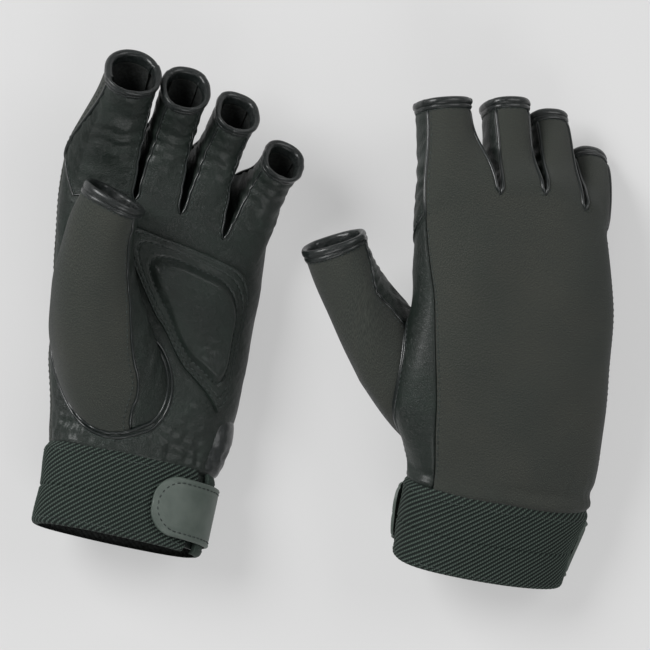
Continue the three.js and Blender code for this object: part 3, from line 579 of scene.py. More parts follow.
def cuff_skin(glove, plain=False):
    """The cuff's surface; plain is the smooth one that the tab lies on."""
    angles, lengths = arc_lengths(glove)
    vent_edge = np.interp(VENT[1], angles, lengths)

    def relief(angle, distance, points):
        around = np.interp(angle, angles, lengths)
        hem = smoothstep(np.minimum(-distance, distance + CUFF_LENGTH), 0, CUFF_HEM)
        seam = CUFF_SEAM[0] * hump(distance, -CUFF_LENGTH * CUFF_SEAM[1], CUFF_SEAM[2])
        ribbed = past_band(around - vent_edge)
        ribs = RIB_HEIGHT * rib_wave(around * rib_side(glove), distance) * ribbed
        band = BAND_HEIGHT * (1 - ribbed)
        return ribs * (0.5 + 0.5 * hem) + seam + band + CUFF_SWELL * hem**0.5 + uneven(points, (0.4, 26, 70))

    def plain_relief(angle, distance, points):
        return CUFF_SWELL + 0 * angle

    def place(angle, distance):
        return lay_down(glove, hand_point(glove, distance, angle), glove["under"])

    middle = lay_down(glove, spine_frame(-CUFF_LENGTH / 2)["origin"], 0)
    limits = ((VENT[1], VENT[1] + 6), (-CUFF_LENGTH - 1, 1))
    return Skin(place, middle, plain_relief if plain else relief, (0.01, 0.4), limits)


# ---- meshes ----
def place_in_row(points):
    return (np.asarray(points).reshape(-1, 3) + OFFSET) * MM


def make_object(name, points, faces, materials, face_materials=None, uv=None, values=None):
    mesh = bpy.data.meshes.new(name)
    mesh.from_pydata(place_in_row(points).tolist(), [], [list(map(int, f)) for f in faces])
    for material in materials:
        mesh.materials.append(material)
    if face_materials is not None:
        mesh.polygons.foreach_set("material_index", np.asarray(face_materials, np.int32))
    mesh.polygons.foreach_set("use_smooth", np.ones(len(mesh.polygons), bool))
    if uv is not None:
        corners = np.zeros(len(mesh.loops), np.int32)
        mesh.loops.foreach_get("vertex_index", corners)
        layer = mesh.uv_layers.new(name="mm")
        layer.data.foreach_set("uv", np.asarray(uv, np.float32)[corners].reshape(-1))
    if values is not None:
        data = mesh.attributes.new(values[0], "FLOAT", "POINT").data
        data.foreach_set("value", np.asarray(values[1], np.float32))
    mesh.update()
    mesh.set_sharp_from_angle(angle=rad(50))
    made = bpy.data.objects.new(name, mesh)
    bpy.context.scene.collection.objects.link(made)
    return made


def grid_quads(rows, columns, closed):
    r, c = np.meshgrid(np.arange(rows - 1), np.arange(columns if closed else columns - 1), indexing="ij")
    row, after, next_row = r * columns, (c + 1) % columns, (r + 1) * columns
    return np.stack([row + c, row + after, next_row + after, next_row + c], -1)


def boundary_edges(faces):
    seen = {}
    for face in faces:
        for a, b in zip(face, [*face[1:], face[0]]):
            seen[(a, b)] = True
    return [edge for edge in seen if (edge[1], edge[0]) not in seen]


def grid_lengths(points):
    """How far each grid point is from the first column and from the first row, along the grid's lines."""
    across = np.linalg.norm(np.diff(points, axis=1), axis=2)
    along = np.linalg.norm(np.diff(points, axis=0), axis=2)
    rows, columns = points.shape[:2]
    from_left = np.concatenate([np.zeros((rows, 1)), np.cumsum(across, axis=1)], axis=1)
    from_first = np.concatenate([np.zeros((1, columns)), np.cumsum(along, axis=0)], axis=0)
    return from_left, from_first


def edge_roll(distance, depth):
    share = np.clip(1 - distance / ROLL_RADIUS, 0, 1)
    return -depth * (1 - np.sqrt(1 - share**2))


def closed_shell(outer, inner, quads):
    """Points and faces of a shell whose outer skin has those quads, with a rim along every open edge."""
    count = len(outer)
    quads = [tuple(map(int, q)) for q in quads]
    rims = [(b, a, a + count, b + count) for a, b in boundary_edges(quads)]
    under = [tuple(i + count for i in reversed(q)) for q in quads]
    points = np.concatenate([outer, inner])
    faces = [*quads, *under, *rims]
    kinds = [0] * len(quads) + [1] * len(under) + [0] * len(rims)
    return points, faces, kinds


def panel(name, skin, u, v, thickness, slot, rolled="u", depth=0.9, lift=0.0, keep=None, flat=None, values=None):
    """A shell over grid arrays u and v of a skin.

    rolled names the edges that dip into a seam: u the first and last columns, v the first and last rows, and w
    the last row only. keep chooses quads, flat is where each grid point lies on the flat cloth, and values is an
    attribute's name with its value at each point.
    """
    bare, _ = skin.at(u, v, lift)
    from_left, from_first = grid_lengths(bare)
    to_last = from_first[-1:] - from_first
    to_side = np.minimum(from_left, from_left[:, -1:] - from_left)
    edges = {"u": to_side, "v": np.minimum(from_first, to_last), "w": to_last}
    roll = sum((edge_roll(edges[way], depth) for way in rolled), np.zeros(u.shape))
    outer, normals = skin.at(u, v, roll + lift)
    inner, _ = skin.at(u, v, lift - thickness)
    quads = grid_quads(*u.shape, False)
    chosen = quads[keep] if keep is not None else quads.reshape(-1, 4)
    sample = chosen[len(chosen) // 2]
    outer = outer.reshape(-1, 3)
    a, b, c = outer[sample[:3]]
    if np.dot(np.cross(b - a, c - a), normals.reshape(-1, 3)[sample[0]]) < 0:
        chosen = chosen[:, ::-1]
    points, faces, kinds = closed_shell(outer, inner.reshape(-1, 3), chosen)
    flat = np.stack([from_left, from_first], -1) if flat is None else flat
    used = sorted({i for f in faces for i in f})
    renumber = {old: new for new, old in enumerate(used)}
    faces = [tuple(renumber[i] for i in f) for f in faces]
    uv = np.tile(flat.reshape(-1, 2) / UV_SCALE, (2, 1))[used]
    if values:
        values = (values[0], np.tile(values[1].reshape(-1), 2)[used])
    return make_object(name, points[used], faces, skins_of(slot), kinds, uv, values)


def rounded_profile(corners, rounds=2):
    """A closed outline with its corners cut off a few times over."""
    points = np.array(corners, float)
    for _ in range(rounds):
        after = np.roll(points, -1, axis=0)
        points = np.stack([mix(points, after, 0.25), mix(points, after, 0.75)], 1).reshape(-1, 2)
    return points


def ring_sweep(name, rings, materials):
    """A closed ring of closed sections: rings is [step round, point of the section, xyz]."""
    count, sides = rings.shape[:2]
    i, j = np.meshgrid(np.arange(count), np.arange(sides), indexing="ij")
    a, b = i * sides + j, i * sides + (j + 1) % sides
    c, d = ((i + 1) % count) * sides + (j + 1) % sides, ((i + 1) % count) * sides + j
    faces = np.stack([a, b, c, d], -1).reshape(-1, 4)
    points = rings.reshape(-1, 3)
    faces = outward_faces(points, faces)
    around = np.cumsum(np.linalg.norm(rings - np.roll(rings, 1, axis=0), axis=2), axis=0)
    section = np.cumsum(np.linalg.norm(rings - np.roll(rings, 1, axis=1), axis=2), axis=1)
    uv = np.stack([around, section], -1).reshape(-1, 2) / UV_SCALE
    return make_object(name, points, faces, materials, None, uv)


def outward_faces(points, faces):
    """Faces in the order that gives the body they close a positive volume."""
    p = np.asarray(points) - np.mean(points, axis=0)
    volume = 0.0
    for face in faces:
        a, b = p[face[0]], p[face[1]]
        for k in face[2:]:
            volume += np.dot(a, np.cross(b, p[k]))
            b = p[k]
    return [tuple(reversed(f)) for f in faces] if volume < 0 else [tuple(f) for f in faces]


def tube_mesh(points, normals, radius, sides=8):
    """The points and faces of a tube along a line, with a point at either end."""
    tangents = unit(np.gradient(points, axis=0))
    across = unit(np.cross(tangents, normals))
    up = np.cross(across, tangents)
    turn = np.arange(sides) * 2 * math.pi / sides
    size = radius * np.minimum(1, np.sqrt(np.linspace(0, 1, len(points)) * len(points) / 3 + 0.05))
    size = np.minimum(size, size[::-1])[:, None, None]
    circle = across[:, None] * np.cos(turn)[None, :, None] + up[:, None] * np.sin(turn)[None, :, None]
    rings = points[:, None] + circle * size
    count = len(points)
    i, j = np.meshgrid(np.arange(count - 1), np.arange(sides), indexing="ij")
    after = (j + 1) % sides
    faces = np.stack([i * sides + j, (i + 1) * sides + j, (i + 1) * sides + after, i * sides + after], -1)
    faces = [tuple(map(int, f)) for f in faces.reshape(-1, 4)]
    caps = [tuple(range(sides)), tuple(range((count - 1) * sides, count * sides))[::-1]]
    return rings.reshape(-1, 3), [*faces, *caps]


def resample(points, normals, pitch):
    lengths = np.concatenate([[0], np.cumsum(np.linalg.norm(np.diff(points, axis=0), axis=1))])
    count = max(int(lengths[-1] / pitch), 1)
    at = (np.arange(count) + 0.5) * lengths[-1] / count
    place = np.stack([np.interp(at, lengths, points[:, i]) for i in range(3)], -1)
    normal = unit(np.stack([np.interp(at, lengths, normals[:, i]) for i in range(3)], -1))
    before = np.stack([np.interp(at - 0.3, lengths, points[:, i]) for i in range(3)], -1)
    after = np.stack([np.interp(at + 0.3, lengths, points[:, i]) for i in range(3)], -1)
    return place, normal, unit(after - before)


def stitch_mesh(lines):
    """The points and faces of a row of stitches along each (points, normals) line."""
    sides = 6
    stations = np.array([-0.5, -0.38, -0.15, 0.15, 0.38, 0.5])
    thick = np.array([0.35, 0.85, 1, 1, 0.85, 0.35])
    turn = np.arange(sides) * 2 * math.pi / sides
    shape = np.zeros((len(stations), sides, 3))
    shape[..., 0] = stations[:, None] * STITCH_LENGTH
    shape[..., 1] = np.cos(turn)[None, :] * thick[:, None] * THREAD_RADIUS
    drop = (np.abs(stations) * 2) ** 2 * THREAD_RADIUS * 1.2
    shape[..., 2] = np.sin(turn)[None, :] * thick[:, None] * THREAD_RADIUS * 0.8 - drop[:, None]
    template = shape.reshape(-1, 3)
    rings = len(stations)
    one = [
        (r * sides + s, r * sides + (s + 1) % sides, (r + 1) * sides + (s + 1) % sides, (r + 1) * sides + s)
        for r in range(rings - 1)
        for s in range(sides)
    ]
    one += [tuple(range(sides))[::-1], tuple(range((rings - 1) * sides, rings * sides))]
    points, faces = [], []
    for line, normals in lines:
        place, normal, along = resample(line, normals, STITCH_PITCH)
        across = unit(np.cross(normal, along))
        for p, n, a, c in zip(place, normal, along, across):
            start = len(points) * len(template)
            points.append(p + template[:, :1] * a + template[:, 1:2] * c + template[:, 2:3] * n)
            faces += [tuple(i + start for i in f) for f in one]
    return np.concatenate(points), faces


def stitches(name, lines):
    return make_object(name, *stitch_mesh(lines), [MATERIALS["thread"]])


def rolls(name, tubes):
    """Rolled seams: tubes is a list of ((points, normals), radius)."""
    points, faces = joined([tube_mesh(*line, radius) for line, radius in tubes])
    return make_object(name, points, faces, [MATERIALS["binding"]])


def joined(parts):
    points, faces, start = [], [], 0
    for p, f in parts:
        points.append(p)
        faces += [tuple(i + start for i in face) for face in f]
        start += len(p)
    return np.concatenate(points), faces


# ---- materials ----
class Nodes:
    """A material's node tree, built by short calls."""

    def __init__(self, name, colour, roughness):
        self.material = bpy.data.materials.new(name)
        self.material.use_nodes = True
        self.tree = self.material.node_tree
        self.shader = self.tree.nodes["Principled BSDF"]
        self.shader.inputs["Base Color"].default_value = (*colour, 1)
        self.shader.inputs["Roughness"].default_value = roughness

    def node(self, kind, inputs=(), **settings):
        made = self.tree.nodes.new(kind)
        for key, value in settings.items():
            setattr(made, key, value)
        for key, value in dict(inputs).items():
            if isinstance(value, bpy.types.NodeSocket):
                self.tree.links.new(value, made.inputs[key])
            else:
                made.inputs[key].default_value = value
        return made

    def set(self, key, value):
        if isinstance(value, bpy.types.NodeSocket):
            self.tree.links.new(value, self.shader.inputs[key])
        else:
            self.shader.inputs[key].default_value = value

    def millimetres(self):
        uv = self.node("ShaderNodeUVMap", uv_map="mm")
        scaled = self.node("ShaderNodeVectorMath", {0: uv.outputs[0], "Scale": UV_SCALE}, operation="SCALE")
        return scaled.outputs[0]

    def noise(self, vector, scale, detail=2.0):
        made = self.node("ShaderNodeTexNoise", {"Vector": vector, "Scale": scale, "Detail": detail})
        return made.outputs["Fac"]

    def ramp(self, value, stops):
        made = self.node("ShaderNodeValToRGB", {"Fac": value})
        stops = list(stops)
        elements = made.color_ramp.elements
        while len(elements) < len(stops):
            elements.new(0.5)
        for element, (at, colour) in zip(elements, stops):
            element.position = at
            element.color = (*colour, 1)
        return made.outputs["Color"]

    def sine(self, value, low, high):
        """The sine of the value, carried to a span from low to high."""
        return self.range(self.math("SINE", value, 0), low, high, -1)

    def range(self, value, low, high, start=0):
        """The value, which runs from start to 1, carried to a span from low to high."""
        inputs = {"Value": value, "From Min": start, "To Min": low, "To Max": high}
        return self.node("ShaderNodeMapRange", inputs).outputs["Result"]

    def dot(self, vector, other):
        made = self.node("ShaderNodeVectorMath", {0: vector, 1: other}, operation="DOT_PRODUCT")
        return made.outputs["Value"]

    def cells(self, vector, scale, feature="F1"):
        made = self.node("ShaderNodeTexVoronoi", {"Vector": vector, "Scale": scale}, feature=feature)
        return made.outputs["Distance"]

    def math(self, operation, a, b):
        return self.node("ShaderNodeMath", {0: a, 1: b}, operation=operation).outputs[0]

    def bump(self, height, strength, depth, below=None):
        inputs = {"Height": height, "Strength": strength, "Distance": depth * MM}
        if below is not None:
            inputs["Normal"] = below
        return self.node("ShaderNodeBump", inputs).outputs["Normal"]


def colour(red, green, blue):
    """An sRGB colour of 0 to 255 as linear values."""
    shares = [value / 255 for value in (red, green, blue)]
    return tuple(s / 12.92 if s <= 0.04045 else ((s + 0.055) / 1.055) ** 2.4 for s in shares)


def shades(base, dark, light):
    """An sRGB colour with a darker and a lighter one, all as linear values."""
    return [colour(*(min(255, c * share) for c in base)) for share in (dark, 1, light)]


def neoprene_material():
    m = Nodes("neoprene", colour(52, 53, 50), 0.95)
    where = m.millimetres()
    stretched = m.node("ShaderNodeVectorMath", {0: where, 1: (1.7, 0.9, 1)}, operation="MULTIPLY").outputs[0]
    flecks = m.noise(stretched, 2.2, 3)
    cloud = m.noise(where, 0.03, 3)
    stops = [(0.34, colour(32, 35, 32)), (0.53, colour(52, 55, 51)), (0.74, colour(82, 84, 78))]
    base = m.ramp(flecks, stops)
    tint = m.ramp(cloud, [(0.35, (0.93, 0.95, 0.95)), (0.65, (1.08, 1.05, 1.03))])
    mixed = m.node("ShaderNodeMix", {0: 1.0, 6: base, 7: tint}, data_type="RGBA", blend_type="MULTIPLY")
    knitted = m.bump(m.cells(stretched, 2.0), strength=0.5, depth=0.18)
    m.set("Base Color", mixed.outputs[2])
    m.set("Normal", m.bump(flecks, strength=0.5, depth=0.12, below=knitted))
    m.set("Specular IOR Level", 0.25)
    m.set("Sheen Weight", 0.12)
    m.set("Sheen Roughness", 0.5)
    m.set("Sheen Tint", (0.7, 0.7, 0.75, 1))
    return m.material


def leather_material(name, base, roughness, grain, coat):
    """Leather with that many grain cells per millimetre, under a gloss coat of that weight."""
    m = Nodes(name, colour(*base), roughness)
    where = m.millimetres()
    cloud = m.noise(where, 0.05, 4)
    speck = m.noise(where, 0.9, 3)
    mottle = m.math("ADD", m.math("MULTIPLY", cloud, 0.6), m.math("MULTIPLY", speck, 0.4))
    worn = m.math("ADD", cloud, m.math("MULTIPLY", speck, 0.3))
    pores = m.math("MINIMUM", m.cells(where, grain, "DISTANCE_TO_EDGE"), 0.18)
    crumpled = m.bump(m.noise(where, 0.32, 5), strength=0.35, depth=1.2)
    m.set("Base Color", m.ramp(mottle, zip((0.36, 0.52, 0.7), shades(base, 0.78, 1.28))))
    m.set("Roughness", m.range(worn, roughness - 0.1, roughness + 0.12))
    m.set("Normal", m.bump(pores, strength=0.85, depth=0.6, below=crumpled))
    m.set("Specular IOR Level", 0.4)
    m.set("Coat Weight", coat)
    m.set("Coat Roughness", 0.22)
    return m.material


def webbing_material():
    """Diagonal ribs of short beads, and a plain band where the point attribute band is 1. The base colour
    follows the rib height: painted shade in the grooves and a painted highlight on the bead tops.
    """
    m = Nodes("webbing", colour(45, 55, 50), 0.8)
    where = m.millimetres()
    turn = 2 * math.pi
    slope = (math.sin(RIB_SLOPE), math.cos(RIB_SLOPE))
    fuzz = m.noise(where, 1.6, 3)
    across = m.dot(where, (slope[0] * turn / RIB_PITCH, slope[1] * turn / RIB_PITCH, 0))
    along = m.dot(where, (slope[1] * turn / BEAD_PITCH, -slope[0] * turn / BEAD_PITCH, 0))
    staggered = m.math("ADD", along, m.math("MULTIPLY", across, 0.5))
    weave = m.math("MULTIPLY", m.sine(across, 0, 1), m.sine(staggered, 0.55, 1))
    knit = m.sine(m.dot(where, (turn / KNIT_PITCH, 0, 0)), 0.45, 0.6)
    band = m.node("ShaderNodeAttribute", attribute_name="band").outputs["Fac"]
    chosen = m.node("ShaderNodeMix", {0: band, 2: weave, 3: knit}, data_type="FLOAT").outputs[0]
    # rib height for the colour ramp below: it paints shade into the grooves and a highlight onto the bead tops
    height = m.math("ADD", m.math("MULTIPLY", chosen, 0.8), m.math("MULTIPLY", fuzz, 0.25))
    fuzzy = m.bump(fuzz, strength=0.3, depth=0.12)
    # painted light: dark stop for the shaded grooves, light stop for the highlight on the bead tops
    stops = [(0.2, colour(11, 18, 16)), (0.5, colour(36, 46, 41)), (0.85, colour(74, 86, 79))]
    m.set("Base Color", m.ramp(height, stops))
    m.set("Normal", m.bump(chosen, strength=0.8, depth=0.35, below=fuzzy))
    m.set("Specular IOR Level", 0.25)
    return m.material


def tab_material():
    m = Nodes("tab", colour(76, 86, 79), 0.52)
    where = m.millimetres()
    cloud = m.noise(where, 0.12, 3)
    uneven_face = m.bump(cloud, strength=0.3, depth=0.6)
    m.set("Base Color", m.ramp(cloud, [(0.3, colour(66, 76, 70)), (0.7, colour(80, 89, 83))]))
    m.set("Normal", m.bump(m.cells(where, 2.4), strength=0.3, depth=0.06, below=uneven_face))
    return m.material


def plain_cloth(name, base, roughness, scale):
    """Thread, lining, hooks and foam: a base colour broken up by noise of that scale per millimetre."""
    m = Nodes(name, colour(*base), roughness)
    where = m.node("ShaderNodeTexCoord").outputs["Object"]
    speck = m.noise(where, scale / MM, 3)
    dark, _, light = shades(base, 0.75, 1.3)
    m.set("Base Color", m.ramp(speck, [(0.35, dark), (0.65, light)]))
    m.set("Normal", m.bump(speck, strength=0.5, depth=0.15))
    m.set("Specular IOR Level", 0.25)
    return m.material


MATERIALS = {
    "neoprene": neoprene_material(),
    "leather": leather_material("leather", (18, 28, 23), 0.46, 1.3, 0.12),
    "binding": leather_material("binding", (15, 22, 21), 0.36, 1.9, 0.45),
    "webbing": webbing_material(),
    "tab": tab_material(),
    "hook": plain_cloth("hook", (30, 32, 31), 0.7, 1.2),
    "foam": plain_cloth("foam", (85, 85, 85), 0.95, 0.8),
    "thread": plain_cloth("thread", (44, 50, 48), 0.6, 1.5),
    "lining": plain_cloth("lining", (34, 36, 35), 0.9, 0.9),
}


def skins_of(slot):
    """The materials of a panel's outer and inner sides."""
    return [MATERIALS[slot], MATERIALS[slot if slot in ("tab", "hook") else "lining"]]


# ---- one glove ----
def replace(made, glove, slot, nodes):
    if nodes:
        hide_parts(*[f"{glove['name']}_{node}" for node in nodes])


def attach(made, glove, slot, nodes=()):
    """A piece that stays with the hand of its glove."""
    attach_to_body(made, f"{glove['name']}_hand")
    replace(made, glove, slot, nodes)


def bend(made, glove, body, slot, span, nodes=()):
    """A piece baked into the row frame, with the CAD parts that it replaces hidden."""
    start, end = (tuple(float(x) for x in place_in_row(p)[0]) for p in span)
    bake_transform(made)
    replace(made, glove, slot, nodes)


def hand_grid(glove, first, last, width):
    """Angle and distance arrays of a hand panel between two columns, from inside the cuff to the crotches."""
    columns = spaced(first, last, width)
    shares = spaced(-TUCK / TUCK_SPAN, 1, HAND_LENGTH)
    column, share = np.meshgrid(columns, shares)
    return hand_angle(glove, share * HAND_LENGTH, column), share * crotch_distance(column)


def hole_reach(glove, angle, distance):
    """1 on the rim of the thumb's hole and less inside it, and the way round it."""
    along = (distance - HOLE["distance"]) / HOLE["half_length"]
    around = (angle - (glove["hole_angle"] - 2 * math.pi) + HOLE["slant"] * along) / HOLE["half_angle"]
    return np.hypot(along, around), np.arctan2(around, along)


def make_hand(glove, skin):
    name = glove["name"]
    angle, distance = hand_grid(glove, 0, BACK_END, BACK_WIDTH)
    back = panel(f"{name}_back_panel", skin, angle, distance, NEOPRENE, "neoprene")
    attach(back, glove, "neoprene", ["hand_back"])

    angle, distance = hand_grid(glove, BACK_END, HAND_COLUMNS, PALM_WIDTH)
    reach, turn = hole_reach(glove, angle, distance)
    centre = (reach[:-1, :-1] + reach[1:, :-1] + reach[:-1, 1:] + reach[1:, 1:]) / 4
    keep = centre > 1
    cut = np.zeros(angle.shape, bool)
    left_in = np.zeros(angle.shape, bool)
    for rows, columns in ((0, 0), (1, 0), (0, 1), (1, 1)):
        block = (slice(rows, rows + keep.shape[0]), slice(columns, columns + keep.shape[1]))
        cut[block] |= ~keep
        left_in[block] |= keep
    rim = cut & left_in
    rim_distance, rim_angle = hole_place(glove, turn, 1)
    angle = np.where(rim, rim_angle - 2 * math.pi, angle)
    distance = np.where(rim, rim_distance, distance)
    palm = panel(f"{name}_palm_leather", skin, angle, distance, LEATHER, "leather", keep=keep)
    attach(palm, glove, "leather", ["palm_panel"])


def stall_span(glove, k):
    """Two points of a finger's centreline, where a bend of the stall would start and stop."""
    base = finger_base(glove, k)
    ring = finger_slice(glove, k, np.arange(0, 12, 0.5))
    reach = ((ring - base["origin"]) @ base["along"]).max() + 0.5
    line = base["origin"] + base["along"] * np.array([[reach], [reach + STALL_BEND_LENGTH]])
    return turned(glove, line) + np.array([*glove["place"], glove["height"] + glove["under"]])


# distance from the opening's edge, and height
BINDING_PROFILE = [
    (-4.7, -0.3), (-4.65, 0.5), (-4.1, 0.85), (-3.2, 0.8), (-2.85, 0.2), (-2.5, 0.8), (-1.5, 1.15),
    (-0.4, 0.95), (0.25, 0.1), (0.1, -1.0), (-0.7, -1.7), (-2.4, -1.9), (-4.3, -1.9), (-4.7, -1.2),
]
BINDING_STITCH = 4.95  # from the opening's edge
BINDING_STEPS = 120
PANEL_SHORT = 4.4  # how far before the opening's edge the panels end, under the binding
COLUMN_WIDTH = 5.2
THUMB_BINDING = 0.6  # the fullness of the thumb's binding
BASE_SEAM, BASE_STITCH = 3.5, 5.2  # across the index's front, from its root


def binding_ring(name, skin, columns, end, pace, fullness):
    """The leather folded over an opening's edge in a double roll.

    pace turns millimetres into the skin's v; fullness(u) is how much there is to wrap, 1 over neoprene.
    """
    profile = rounded_profile(BINDING_PROFILE)
    u = np.linspace(0, columns, BINDING_STEPS + 1)[:-1][:, None]
    from_edge, height = profile.T[:, None, :]
    height = height * np.where(height > 0, 0.55 + 0.4 * fullness(u), 0.85 + 0.5 * fullness(u))
    points, _ = skin.at(u, end + from_edge * pace, height)
    return ring_sweep(name, points, [MATERIALS["binding"]])


def stall_fullness(column):
    return np.interp(column, STALL_KNOTS, [1, 1, 0, 0, 1])


def make_finger(glove, k):
    name, length = FINGERS[k]["name"], FINGERS[k]["length"]
    label = f"{glove['name']}_{name}"
    skin = finger_skin(glove, k)
    span = stall_span(glove, k)
    end = length - PANEL_SHORT
    first, last = k == 0, k == len(FINGERS) - 1
    blocks = [("back", 0, 4), ("front", 4 if last else 6, 12 if first else 10)]
    if not last:
        blocks.append(("little_side_wall", 4, 6))
    if not first:
        blocks.append(("thumb_side_wall", 10, 12))
    for part, start, stop in blocks:
        thickness, slot = (NEOPRENE, "neoprene") if part == "back" else (LEATHER, "leather")
        u, v = np.meshgrid(spaced(start, stop, COLUMN_WIDTH * (stop - start)), spaced(0, end, end))
        made = panel(f"{label}_{part}_panel", skin, u, v, thickness, slot, depth=0.8)
        bend(made, glove, name, slot, span, [f"{name}_{part}"])

    ring = binding_ring(f"{label}_binding_roll", skin, STALL_COLUMNS, length, 1, stall_fullness)
    bend(ring, glove, name, "binding", span, [f"{name}_binding"])

    v = np.linspace(0.5, end + 0.6, 60)
    both_seams = ((6, 0.32, not last), (10, -0.32, not first))
    front_seams = [(column, side) for column, side, wanted in both_seams if wanted]
    tubes = [(skin.at(column, v, -0.1), PIPING_RADIUS) for column in (0.02, 3.98)]
    tubes += [(skin.at(column, v, -0.1), PIPING_RADIUS * THIN_ROLL) for column, _ in front_seams]
    rows = [skin.at(np.linspace(0, STALL_COLUMNS, 200), length - BINDING_STITCH, 0.12)]
    rows += [skin.at(column + side, v, 0.08) for column, side in front_seams]
    if first:
        across = np.linspace(6.1, 11.9, 50)
        tubes.append((skin.at(across, BASE_SEAM, 0), PIPING_RADIUS * THIN_ROLL))
        rows += [skin.at(0.35, v, 0.08), skin.at(across, BASE_STITCH, 0.08)]
    bend(rolls(f"{label}_piping", tubes), glove, name, "binding", span)
    bend(stitches(f"{label}_stitches", rows), glove, name, "binding", span)


def thumb_span(glove):
    """Two points of the thumb's centreline past the highest point of its hole, where a bend of the thumb would
    start and stop.
    """
    base = thumb_frame(glove, THUMB_KNUCKLE)
    rim = hand_point(glove, *hole_place(glove, np.linspace(0, 2 * math.pi, 60), 1))
    reach = max(((rim - base["origin"]) @ base["along"]).max() + 1, -THUMB_BEND_LENGTH / 2)
    line = base["origin"] + base["along"] * np.array([[reach], [reach + THUMB_BEND_LENGTH]])
    return turned(glove, line) + np.array([*glove["place"], glove["height"] + glove["under"]])


def make_thumb(glove, hand):
    label = f"{glove['name']}_thumb"
    skin = thumb_skin(glove)
    span = thumb_span(glove)
    share, v = np.meshgrid(spaced(0, 1, 48), spaced(0, 0.955, 80))
    first, last = (from_table(table, v) for table in glove["thumb_seams"])
    blocks = (
        ("back", first, last, NEOPRENE * THUMB_THINNER, "neoprene"),
        ("inner", last, first + THUMB_STEPS, LEATHER * THUMB_THINNER, "leather"),
    )
    for part, low, high, thickness, slot in blocks:
        made = panel(f"{label}_{part}_panel", skin, mix(low, high, share), v, thickness, slot)
        bend(made, glove, "thumb", slot, span, [f"thumb_{part}", f"thumb_root_{part}"])

    tip = thumb_frame(glove, np.linspace(0.9, 1, 5))["origin"]
    length = np.linalg.norm(np.diff(tip, axis=0), axis=1).sum() * 10
    ring = binding_ring(f"{label}_binding_roll", skin, THUMB_STEPS, 1, 1 / length, lambda u: THUMB_BINDING)
    bend(ring, glove, "thumb", "binding", span, ["thumb_binding"])

    v = np.linspace(0.01, 0.95, 90)
    sides = [from_table(table, v) for table in glove["thumb_seams"]]
    turn = np.linspace(0, 2 * math.pi, 160)

    def round_hole(reach, lift):
        distance, angle = hole_place(glove, turn, reach)
        return hand.at(angle, distance, lift)

    tubes = [(skin.at(u, v, -0.1), PIPING_RADIUS * 0.8) for u in sides]
    tubes += [(round_hole(1.0, 0.1), PIPING_RADIUS * 0.9), (round_hole(1.05, 0), PIPING_RADIUS * 0.8)]
    bend(rolls(f"{label}_seam_rolls", tubes), glove, "thumb", "binding", span)
    rows = [skin.at(np.linspace(0, THUMB_STEPS, 200), 1 - BINDING_STITCH / length, 0.12)]
    rows += [skin.at(u + side, v, 0.1) for u, side in zip(sides, (0.35, -0.35))]
    bend(stitches(f"{label}_stitches", rows), glove, "thumb", "binding", span)
    attach(stitches(f"{label}_base_stitches", [round_hole(1.09, 0.1)]), glove, "leather")


# ---- the palm's reinforcement ----
def patch_place(u, v):
    """Distance and angle of a point of the patch: u is from the thumb outwards, v from wrist to fingers."""
    corners = (PATCH["thumb_bottom"], PATCH["little_bottom"], PATCH["thumb_top"], PATCH["little_top"])
    bottom = [mix(corners[0][i], corners[1][i], u) for i in range(2)]
    top = [mix(corners[2][i], corners[3][i], u) for i in range(2)]
    return mix(bottom[0], top[0], v), mix(bottom[1], top[1], v)


def rounded_square(inset, radii, count=160):
    """An outline inside the unit square, inset (left, right, bottom, top), with a radius for each corner."""
    left, right, bottom, top = inset
    corners = [(left, bottom), (1 - right, bottom), (1 - right, 1 - top), (left, 1 - top)]
    outline = []
    for i, ((x, y), radius) in enumerate(zip(corners, radii)):
        inward = (1 if x < 0.5 else -1, 1 if y < 0.5 else -1)
        centre = (x + inward[0] * radius, y + inward[1] * radius)
        start = math.pi + i * math.pi / 2
        for turn in np.linspace(start, start + math.pi / 2, 14):
            outline.append((centre[0] + radius * math.cos(turn), centre[1] + radius * math.sin(turn)))
    outline = np.array([*outline, outline[0]])
    lengths = np.concatenate([[0], np.cumsum(np.linalg.norm(np.diff(outline, axis=0), axis=1))])
    at = np.linspace(0, lengths[-1], count + 1)[:-1]
    return np.stack([np.interp(at, lengths, outline[:, i]) for i in range(2)], -1)


# insets (left, right, bottom, top) and corner radii, in the patch's unit square
PATCH_OUTLINE = ((0.0, 0.0, 0.0, 0.0), (0.14, 0.13, 0.24, 0.16))
PAD_OUTLINE = ((0.12, 0.13, 0.13, 0.14), (0.16, 0.24, 0.26, 0.22))
PATCH_SIZE = [52, 62]
# levels run from 0 at the pad's centre to 1 at its edge and 2 at the patch's edge
PAD_LEVELS = [*np.linspace(0.03, 0.9, 26), 0.95]
EDGE_LEVELS = [0.985, 1.0, 1.03, 1.08, *np.linspace(1.13, 1.9, 28), 1.95, 1.98, 2.0]
PATCH_GROOVES = ((1.03, 0.5), (1.5, 0.3), (1.82, 0.3))  # rings of stitching: level and depth
GROOVE_WIDTH = 0.045
PATCH_BASE = 0.35
PAD_DOME = 0.5
PATCH_EDGE_DEPTH = 0.8


def patch_ring(level):
    pad, outer = rounded_square(*PAD_OUTLINE), rounded_square(*PATCH_OUTLINE)
    return mix(np.array([0.5, 0.5]), pad, level) if level <= 1 else mix(pad, outer, level - 1)


def patch_grid(levels):
    rings = np.array([patch_ring(level) for level in levels])
    distance, angle = patch_place(*np.moveaxis(rings, -1, 0))
    return rings, distance, angle, np.array(levels)[:, None]


def capped_shell(top, bottom):
    """A shell between two stacks of closed rings, whose first ring is filled in."""
    rows, columns = top.shape[:2]
    quads = [tuple(map(int, q)) for q in grid_quads(rows, columns, True).reshape(-1, 4)]
    return closed_shell(top.reshape(-1, 3), bottom.reshape(-1, 3), [*quads, tuple(range(columns))[::-1]])


